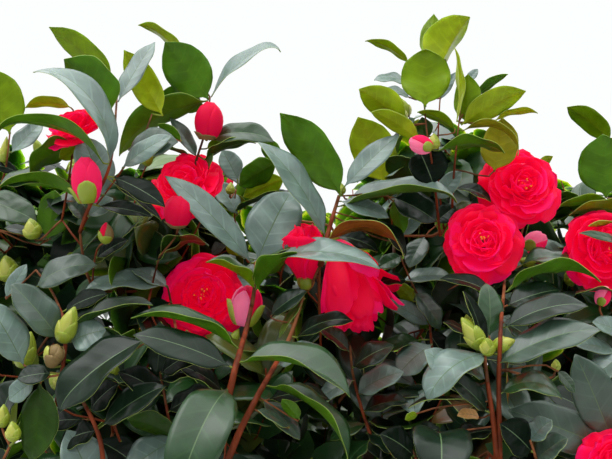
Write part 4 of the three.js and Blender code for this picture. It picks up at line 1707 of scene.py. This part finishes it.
            Blade(426, 330, 446, 362, 30, 40, 24, 6, PAINTED_SHADE),
            Blade(420, 340, 380, 352, 30, 60, 36, 6, DEEP),
            Blade(432, 344, 398, 376, 38, 40, 30, 8, SILVER_PAINTED_SHEEN, 14, 12, 0, -10),
            Blade(414, 292, 440, 330, 30, 50, 30, 2, GREY_PAINTED_SHEEN, 14, 12, 0, 8),
            Blade(408, 280, 380, 282, 24, 60, 30, 2, PAINTED_SHADE),
        ),
    ),
    Spray(
        ((56, 405, 30), (62, 372, 24), (66, 345, 20), (64, 318, -40), (52, 290, -96), (36, 270, -84)),
        (4.4, 2.4),
        (
            Blade(36, 287, 97, 265, 36, 44, 66, 10, GREY_PAINTED_SHEEN, 12),
            Blade(60, 340, 11, 284, 38, 26, 24, 12, GREY_PAINTED_SHEEN, 14),
            Blade(72, 332, 153, 305, 40, 78, 38, 20, DARK, 34),
            Blade(70, 342, 106, 330, 36, 30, 34, 4, SILVER_PAINTED_SHEEN),
            Blade(5, 298, 27, 264, 16, 20, 10, -10, SILVER_PAINTED_SHEEN, 12, 12, 0, 10),
            Blade(66, 310, 108, 294, 26, 50, 30, 6, PAINTED_SHADE),
            Blade(64, 318, 98, 300, 34, 50, 30, 2, PAINTED_SHADE, 14, 12, 0, 12),
        ),
    ),
    Spray(
        ((105, 480, 36), (101, 440, 28), (92, 418, 22), (80, 396, 20), (64, 374, 22)),
        (5.6, 2.8),
        (
            Blade(148, 338, 60, 412, 56, 60, 34, 16, DARK, 24, 30, 30),
            Blade(24, 366, -15, 302, 40, 30, 24, 10, SILVER_PAINTED_SHEEN),
            Blade(52, 373, 17, 379, 24, 35, 30, 8, DARK),
            Blade(35, 380, 9, 400, 24, 26, 20, -4, SILVER_PAINTED_SHEEN),
            Blade(40, 382, 31, 462, 46, 142, 24, 16, DARK, 10),
            Blade(102, 426, 166, 386, 36, 44, 30, 8, DARK),
            Blade(98, 500, 67, 430, 48, 20, 26, -6, SILVER_PAINTED_SHEEN),
            Blade(84, 420, 34, 428, 34, 50, 36, 4, PAINTED_SHADE, 14, 12, 0, 30),
            Blade(96, 440, 140, 470, 40, 40, 30, 20, PAINTED_SHADE, 14, 12, 0, 44),
            Blade(90, 410, 118, 384, 36, 50, 30, 2, PAINTED_SHADE, 14, 12, 0, 12),
            Blade(98, 430, 60, 444, 36, 50, 30, 2, PAINTED_SHADE, 14, 12, 0, 12),
        ),
    ),
    Spray(
        ((-16, 490, 28), (0, 466, 22), (10, 446, 18)),
        (4.0, 2.4),
        (
            Blade(-20, 472, 16, 430, 32, 30, 20, 8, DARK),
            Blade(6, 484, 24, 440, 30, 150, 16, 8, DEEP),
            Blade(6, 462, 44, 478, 32, 60, 30, 8, DARK),
            Blade(0, 420, 20, 380, 36, 50, 30, 2, DARK, 14, 12, 0, 44),
            Blade(-6, 470, 24, 452, 36, 50, 30, 2, PAINTED_SHADE, 14, 12, 0, 14),
            Blade(6, 452, -20, 410, 34, 50, 30, 2, PAINTED_SHADE, 14, 12, 0, 14),
        ),
    ),
    Spray(
        ((176, 330, 70), (172, 306, 56), (168, 288, 44)),
        (3.4, 2.2),
        (
            Blade(168, 286, 85, 290, 42, 64, 40, 22, SILVER_PAINTED_SHEEN, 10),
            Blade(172, 302, 128, 326, 32, 60, 36, 2, DARK),
            Blade(168, 288, 132, 270, 30, 60, 36, 2, SILVER_PAINTED_SHEEN),
        ),
    ),
    Spray(
        ((178, 480, 56), (172, 440, 44), (166, 404, 36), (160, 372, 34)),
        (4.0, 2.4),
        (
            Blade(160, 374, 206, 350, 34, 50, 34, 6, PAINTED_SHADE),
            Blade(164, 396, 118, 372, 36, 45, 30, 6, PAINTED_SHADE),
            Blade(168, 412, 214, 392, 34, 55, 34, 2, PAINTED_SHADE),
            Blade(176, 437, 127, 419, 34, 130, 30, 12, DARK),
            Blade(178, 438, 122, 478, 44, 40, 30, 14, SILVER_PAINTED_SHEEN),
            Blade(160, 380, 196, 372, 30, 60, 30, 4, PAINTED_SHADE),
        ),
    ),
    Spray(
        ((528, 206, 74), (531, 190, 68), (534, 172, 62)),
        (1.8, 1.2),
        (
            Blade(534, 170, 553, 156, 11, 150, 20, 4, YOUNG, 10),
        ),
    ),
    Spray(
        ((394, 240, 106), (391, 214, 100), (387, 188, 92)),
        (2.0, 1.2),
        (
            Blade(386, 184, 358, 117, 46, 165, 20, 6, YOUNG, 8),
            Blade(418, 186, 386, 158, 34, 150, 20, 4, DARK, 10, 12, 0, -10),
        ),
    ),
    Spray(
        ((372, 440, 54), (360, 404, 44), (352, 372, 40), (350, 346, 42)),
        (4.4, 2.6),
        (
            Blade(352, 368, 394, 346, 36, 50, 34, 6, DARK),
            Blade(350, 352, 318, 328, 30, 60, 30, 2, DARK),
            Blade(356, 394, 404, 372, 34, 45, 34, 6, SILVER_PAINTED_SHEEN),
            Blade(362, 412, 408, 402, 32, 60, 40, 8, DARK),
            Blade(366, 424, 330, 440, 30, 60, 36, 4, DEEP),
            Blade(354, 380, 316, 404, 32, 55, 36, 2, SILVER_PAINTED_SHEEN),
            Blade(366, 432, 400, 450, 36, 50, 30, 4, DARK),
            Blade(370, 440, 344, 470, 36, 60, 30, 4, DEEP),
            Blade(366, 424, 398, 436, 36, 60, 30, 2, DARK, 14, 12, 0, 16),
        ),
    ),
)

NearBloom = namedtuple("NearBloom", "x y deep across axis rings stamens")
NEAR_BLOOMS = (
    NearBloom(79, 135, 54, 66, (-0.25, -0.50, 0.80), OPEN_RINGS, 0),
    NearBloom(190, 193, 50, 84, (-0.30, -0.70, 0.55), OPEN_RINGS, 0),
    NearBloom(204, 300, 36, 92, (0.05, -0.95, 0.28), OPEN_RINGS, 12),
    NearBloom(306, 282, 76, 104, (-0.06, -0.22, 1.0), CUP_RINGS, 0),
    NearBloom(336, 238, 92, 122, (0.24, -0.34, -0.91), FAN_RINGS, 0),
    NearBloom(482, 245, 34, 84, (-0.12, -0.96, 0.24), OPEN_RINGS, 8),
    NearBloom(516, 192, 50, 88, (0.12, -0.92, 0.34), OPEN_RINGS, 12),
    NearBloom(597, 252, 46, 86, (0.15, -0.90, 0.20), OPEN_RINGS, 8),
    NearBloom(611, 471, 30, 88, (0.05, -0.90, 0.45), OPEN_RINGS, 10),
)
NearBud = namedtuple("NearBud", "x y tip_x tip_y width deep out kind")
NEAR_BUDS = (
    NearBud(207, 140, 210, 101, 29, 8, 4, RED_BUD),
    NearBud(88, 203, 84, 156, 30, 10, 6, PINK_BUD),
    NearBud(178, 227, 177, 195, 29, 14, 10, RED_BUD),
    NearBud(243, 325, 250, 285, 32, 56, 2, OPENING_BUD),
    NearBud(525, 248, 547, 236, 20, 28, 6, BLUSH_BUD),
    NearBud(431, 148, 409, 140, 18, 22, 4, BLUSH_BUD),
    NearBud(434, 149, 434, 133, 12, 30, 2, GREEN_BUD),
    NearBud(342, 194, 340, 182, 9, 18, 2, GREEN_BUD),
    NearBud(34, 238, 30, 218, 18, 20, 6, GREEN_BUD),
    NearBud(10, 280, 5, 255, 22, 20, 8, GREEN_BUD),
    NearBud(62, 341, 75, 306, 20, 2, 6, GREEN_BUD),
    NearBud(22, 366, 31, 331, 21, 6, 6, GREEN_BUD),
    NearBud(50, 366, 58, 345, 18, 12, 6, WILTED_BUD),
    NearBud(106, 243, 106, 222, 15, 34, 4, TIGHT_BUD),
    NearBud(482, 347, 461, 317, 19, 0, 4, GREEN_BUD),
    NearBud(488, 353, 487, 338, 15, -4, 12, GREEN_BUD),
    NearBud(494, 347, 518, 341, 16, 0, 6, GREEN_BUD),
    NearBud(556, 370, 556, 359, 9, 20, 4, GREEN_BUD),
    NearBud(600, 305, 607, 286, 15, 18, 4, BLUSH_BUD),
    NearBud(14, 440, 12, 421, 15, 10, 4, GREEN_BUD),
    NearBud(2, 426, 4, 404, 14, 12, 4, GREEN_BUD),
    NearBud(3, 162, 7, 136, 9, 26, 4, GREEN_BUD),
    NearBud(230, 194, 231, 182, 9, 20, 2, GREEN_BUD),
)

# The side that a leaf's top turns to, upward and a little to the right
TOP_SIDE = np.array([0.25, 0.0, 1.0])
STEM_STEP, FEWEST_STEPS = 6.0, 8
PETIOLE, BUD_STALK, BLOOM_STALK = 0.95 * MM, 1.3 * MM, 1.6 * MM
BLADE_SINK, STALK_SINK = 2 * MM, 1 * MM
LONG_STALK = 16 * MM
NEAR_CALYX_BACK, NEAR_CALYX = 8 * MM, (20 * MM, 19 * MM)


def aimed(base, tip, blade, draw):
    """The leaf that runs from base to tip and turns its face as the blade says."""
    chord = unit(tip - base)
    faced = square_to(EYE - (base + tip) / 2, chord)
    side = np.cross(faced, chord)
    side = side if side @ TOP_SIDE >= 0 else -side
    turn, arch, hook = math.radians(blade.turn), math.radians(blade.arch), math.radians(blade.hook)
    top = math.cos(turn) * faced + math.sin(turn) * side
    _, ahead, rise = bent(np.array([arch]), np.array([hook]), NEAR_LEAF.stations)
    reach = math.hypot(ahead[0, -1], rise[0, -1])
    c, s = ahead[0, -1] / reach, rise[0, -1] / reach
    width = blade.width * (base[1] - EYE[1]) * PIXEL
    return Leaf(
        base=base,
        along=c * chord - s * top,
        up=s * chord + c * top,
        length=np.linalg.norm(tip - base) / reach,
        width=width,
        arch=arch,
        hook=hook,
        fold=math.radians(blade.fold),
        camber=draw.uniform(0.0, 0.14),
        wave=draw.uniform(0.05, 0.12),
        phase=draw.uniform(*ANY_PHASE),
        twist=math.radians(blade.twist),
        tone=blade.tone,
    )


def stalk_bark(foot, base):
    """A long stalk is a brown side twig, and a short one stays green."""
    return TWIG_TAN if np.linalg.norm(base - foot) > LONG_STALK else TWIG_GREEN


class NearShoot:
    """One of the photo's own shoots, set in depth against the crown's front."""

    def __init__(self, spray, draw):
        marks = np.array(spray.stem, float)
        length = np.linalg.norm(np.diff(marks[:, :2], axis=0), axis=1).sum()
        count = max(FEWEST_STEPS, int(length / STEM_STEP))
        lines, _ = smooth_line(marks, np.zeros(len(marks)), count)
        self.px, self.py = lines[:, 0], lines[:, 1]
        self.depths = front_at(self.px, self.py) + lines[:, 2] * MM
        self.path = seen(self.px, self.py, self.depths).T
        self.radii = np.linspace(*spray.thick, count) / 2 * MM
        self.leaves, self.stalks = [], []
        for blade in spray.blades:
            k = int(np.argmin(np.hypot(self.px - blade.x, self.py - blade.y)))
            depth = self.depths[k] + blade.back * MM
            base = seen(blade.x, blade.y, depth)
            tip = seen(blade.tip_x, blade.tip_y, depth - blade.out * MM)
            leaf = aimed(base, tip, blade, draw)
            self.leaves.append(leaf)
            self.stalks.append((self.path[k], leaf))

    def add_wood(self, shells):
        """Adds the stem, and a stalk to each leaf that stands off it."""
        split = len(self.path) * 2 // 3
        shells.add_tube(self.path[: split + 1], self.radii[: split + 1], 10, TWIG_RED)
        shells.add_tube(self.path[split:], self.radii[split:], 8, TWIG_TAN)
        for foot, leaf in self.stalks:
            if np.linalg.norm(leaf.base - foot) > BLADE_SINK:
                inside = leaf.base + leaf.along * BLADE_SINK
                way = unit(inside - foot)
                kind = stalk_bark(foot, leaf.base)
                shells.add_tube(bow(foot, way, inside, leaf.along, 5), PETIOLE, 6, kind)


def add_stalk(shells, shoots, base, way, radius):
    """A stalk from the nearest near stem to the base of a bloom or bud."""
    wood = np.concatenate([shoot.path for shoot in shoots])
    foot = wood[np.argmin(np.linalg.norm(wood - base, axis=1))]
    if np.linalg.norm(base - foot) > STALK_SINK:
        shells.add_tube(bow(foot, unit(base - foot), base, way, 7), radius, 7, stalk_bark(foot, base))


def add_near_blooms(shells, stalks, shoots, draw):
    for bloom in NEAR_BLOOMS:
        axis = unit(np.array(bloom.axis))
        centre = seen(bloom.x, bloom.y, float(front_at(bloom.x, bloom.y)) + bloom.deep * MM)
        size = bloom.across * (centre[1] - EYE[1]) * PIXEL / MM / BLOOM_WIDE
        add_leaves(shells, NEAR_PETAL, bloom_petals(centre, axis, size, bloom.rings, draw), PETAL_SKINS)
        add_stamens(shells, centre, axis, size, bloom.stamens, draw)
        foot = centre - axis * NEAR_CALYX_BACK
        add_bud(shells, foot, axis, *NEAR_CALYX, CALYX, fine=True)
        add_stalk(stalks, shoots, foot, axis, BLOOM_STALK)


def add_near_buds(shells, stalks, shoots):
    for bud in NEAR_BUDS:
        depth = float(front_at(bud.x, bud.y)) + bud.deep * MM
        base, tip = seen(bud.x, bud.y, depth), seen(bud.tip_x, bud.tip_y, depth - bud.out * MM)
        way, length = unit(tip - base), np.linalg.norm(tip - base)
        add_bud(shells, base, way, length, bud.width * (depth - EYE[1]) * PIXEL, bud.kind, fine=True)
        add_stalk(stalks, shoots, base + way * STALK_SINK, way, BUD_STALK)


# The whole crown

# The near leaves are shared out among three pieces, by where their stem stands in the photo
LEFT_SHARE, CENTRE_SHARE = 0.34, 0.64
NEAR_RELIEF = 0.12 * MM
BARK_SEED, CROWN_SEED = 50, 7
SHOOT_RADII = (1.5, 0.95)


def grow_near(draw):
    """The photo's own front layer, and the shoots that the masses' twigs carry."""
    shoots = [NearShoot(spray, draw) for spray in NEAR_SPRAYS]
    finishes = leaf_finishes(near=True)
    wood = Shells("twigs_near", "bark", twig_finishes(near=True))
    thirds = {"left": [], "centre": [], "right": []}
    for shoot in shoots:
        shoot.add_wood(wood)
        middle = shoot.px.mean() / PHOTO_WIDE
        side = "left" if middle < LEFT_SHARE else "centre" if middle < CENTRE_SHARE else "right"
        thirds[side] += shoot.leaves
    for side, leaves in thirds.items():
        blades = Shells(f"leaves_near_{side}", "foliage", finishes)
        add_leaves(blades, NEAR_LEAF, leaves, relief=NEAR_RELIEF)
        blades.piece()
    blooms = Shells("blooms_near", "blossom", bloom_finishes(near=True))
    add_near_blooms(blooms, wood, shoots, draw)
    blooms.piece()
    buds = Shells("buds_near", "blossom", bloom_finishes())
    add_near_buds(buds, wood, shoots)
    buds.piece()
    wood.piece()
    return shoots


def grow_mass(mass, number, shoots, near_feet, skins, draw):
    """One mass: its limb's bark, its twigs, leaves, blooms and buds."""
    start, way, radius = make_limb(limb_of(mass), skins["bark"], BARK_SEED + 2 * number)
    twigs = Twigs(start, way, radius)
    feet = [shoot.foot() for shoot in shoots] + near_feet
    for place, toward in sorted(feet, key=lambda foot: np.linalg.norm(foot[0] - start)):
        twigs.reach(place, toward)
    wood = Shells(f"twigs_{mass.name}", "bark", skins["twig"])
    blades = Shells(f"leaves_{mass.name}", "foliage", skins["leaf"])
    blooms = Shells(f"blooms_{mass.name}", "blossom", skins["bloom"])
    twigs.add_to(wood, draw)
    for shoot in shoots:
        stem = shoot.path[::2]
        wood.add_tube(stem, np.linspace(*SHOOT_RADII, len(stem)) * MM, 4, TWIG_RED)
        crown_tip(blooms, shoot, draw)
    leaves = [leaf for shoot in shoots for leaf in shoot.leaves]
    shown = [leaf.tone != PAINTED_SHADE and in_front(leaf.base) for leaf in leaves]
    add_leaves(blades, MIDDLE_LEAF, [leaf for leaf, near in zip(leaves, shown) if near])
    add_leaves(blades, PLAIN_LEAF, [leaf for leaf, near in zip(leaves, shown) if not near])
    blades.piece(mass.node)
    wood.piece()
    if blooms.total:
        blooms.piece()


def grow_crown():
    """The whole shrub, from its trunk to its last leaf."""
    draw = np.random.default_rng(CROWN_SEED)
    skins = {
        "bark": bark_finish(),
        "twig": twig_finishes(),
        "leaf": leaf_finishes(),
        "bloom": bloom_finishes(),
    }
    make_trunk(skins["bark"])
    near = grow_near(draw)
    by_mass = scatter_shoots(draw)
    feet = {mass.name: [] for mass in masses}
    for shoot in near:
        closest = min(masses, key=lambda mass: np.linalg.norm(mass.centre - shoot.path[0]))
        feet[closest.name].append((shoot.path[0], unit(shoot.path[1] - shoot.path[0])))
    for number, mass in enumerate(masses):
        kept = [shoot for shoot in by_mass[mass.name] if dress(shoot, draw)]
        grow_mass(mass, number, kept, feet[mass.name], skins, draw)


# Floor and light

FLOOR_RADIUS, FLOOR_SIDES = 40, 64
DOME_COLOUR = (0.98, 1.0, 1.0, 1)
ABOVE_STRENGTH, ABOVE_EDGES = 2.4, (0.28, 0.95)
BEHIND_STRENGTH, AHEAD_STRENGTH, AHEAD_EDGES = 0.42, 1.0, (-0.55, 0.45)
FROM_Y, FROM_Z = 1, 2


def make_floor():
    bpy.ops.mesh.primitive_circle_add(vertices=FLOOR_SIDES, radius=FLOOR_RADIUS, fill_type="NGON")
    floor = bpy.context.object
    floor.name = "floor"
    pale = Finish("floor_pale", base_color=(0.50, 0.50, 0.49, 1), roughness=0.9)
    floor.data.materials.append(pale.material)


def make_dome():
    """Soft light from all round, brightest overhead and fainter from behind the camera."""
    world = bpy.data.worlds.new("dome")
    bpy.context.scene.world = world
    world.use_nodes = True
    dome = Nodes(world.node_tree)

    def ramp(output, edges, low, high):
        place = dome.node("ShaderNodeTexCoord")
        value = dome.node("ShaderNodeSeparateXYZ", sockets={0: place}, output=output)
        ends = {"From Min": edges[0], "From Max": edges[1], "To Min": low, "To Max": high}
        return dome.node("ShaderNodeMapRange", sockets={"Value": value} | ends)

    level = ramp(FROM_Y, AHEAD_EDGES, BEHIND_STRENGTH, AHEAD_STRENGTH)
    background = dome.tree.nodes["Background"]
    dome.link(DOME_COLOUR, background.inputs["Color"])
    dome.link(ramp(FROM_Z, ABOVE_EDGES, level, ABOVE_STRENGTH), background.inputs["Strength"])


def area_light(name, place, goal, size, power):
    lamp = bpy.data.lights.new(name, "AREA")
    lamp.size, lamp.energy = size, power
    made = bpy.data.objects.new(name, lamp)
    made.location = place
    made.rotation_euler = (Vector(goal) - Vector(place)).to_track_quat("-Z", "Y").to_euler()
    bpy.context.scene.collection.objects.link(made)


def set_look():
    view = bpy.context.scene.view_settings
    view.view_transform = "Standard"
    view.look = "None"


place_camera()
grow_crown()
make_floor()
make_dome()
area_light("daylight", place=(-1.5, -1.0, 4.5), goal=(0, 0, 0.9), size=3.0, power=60)
set_look()
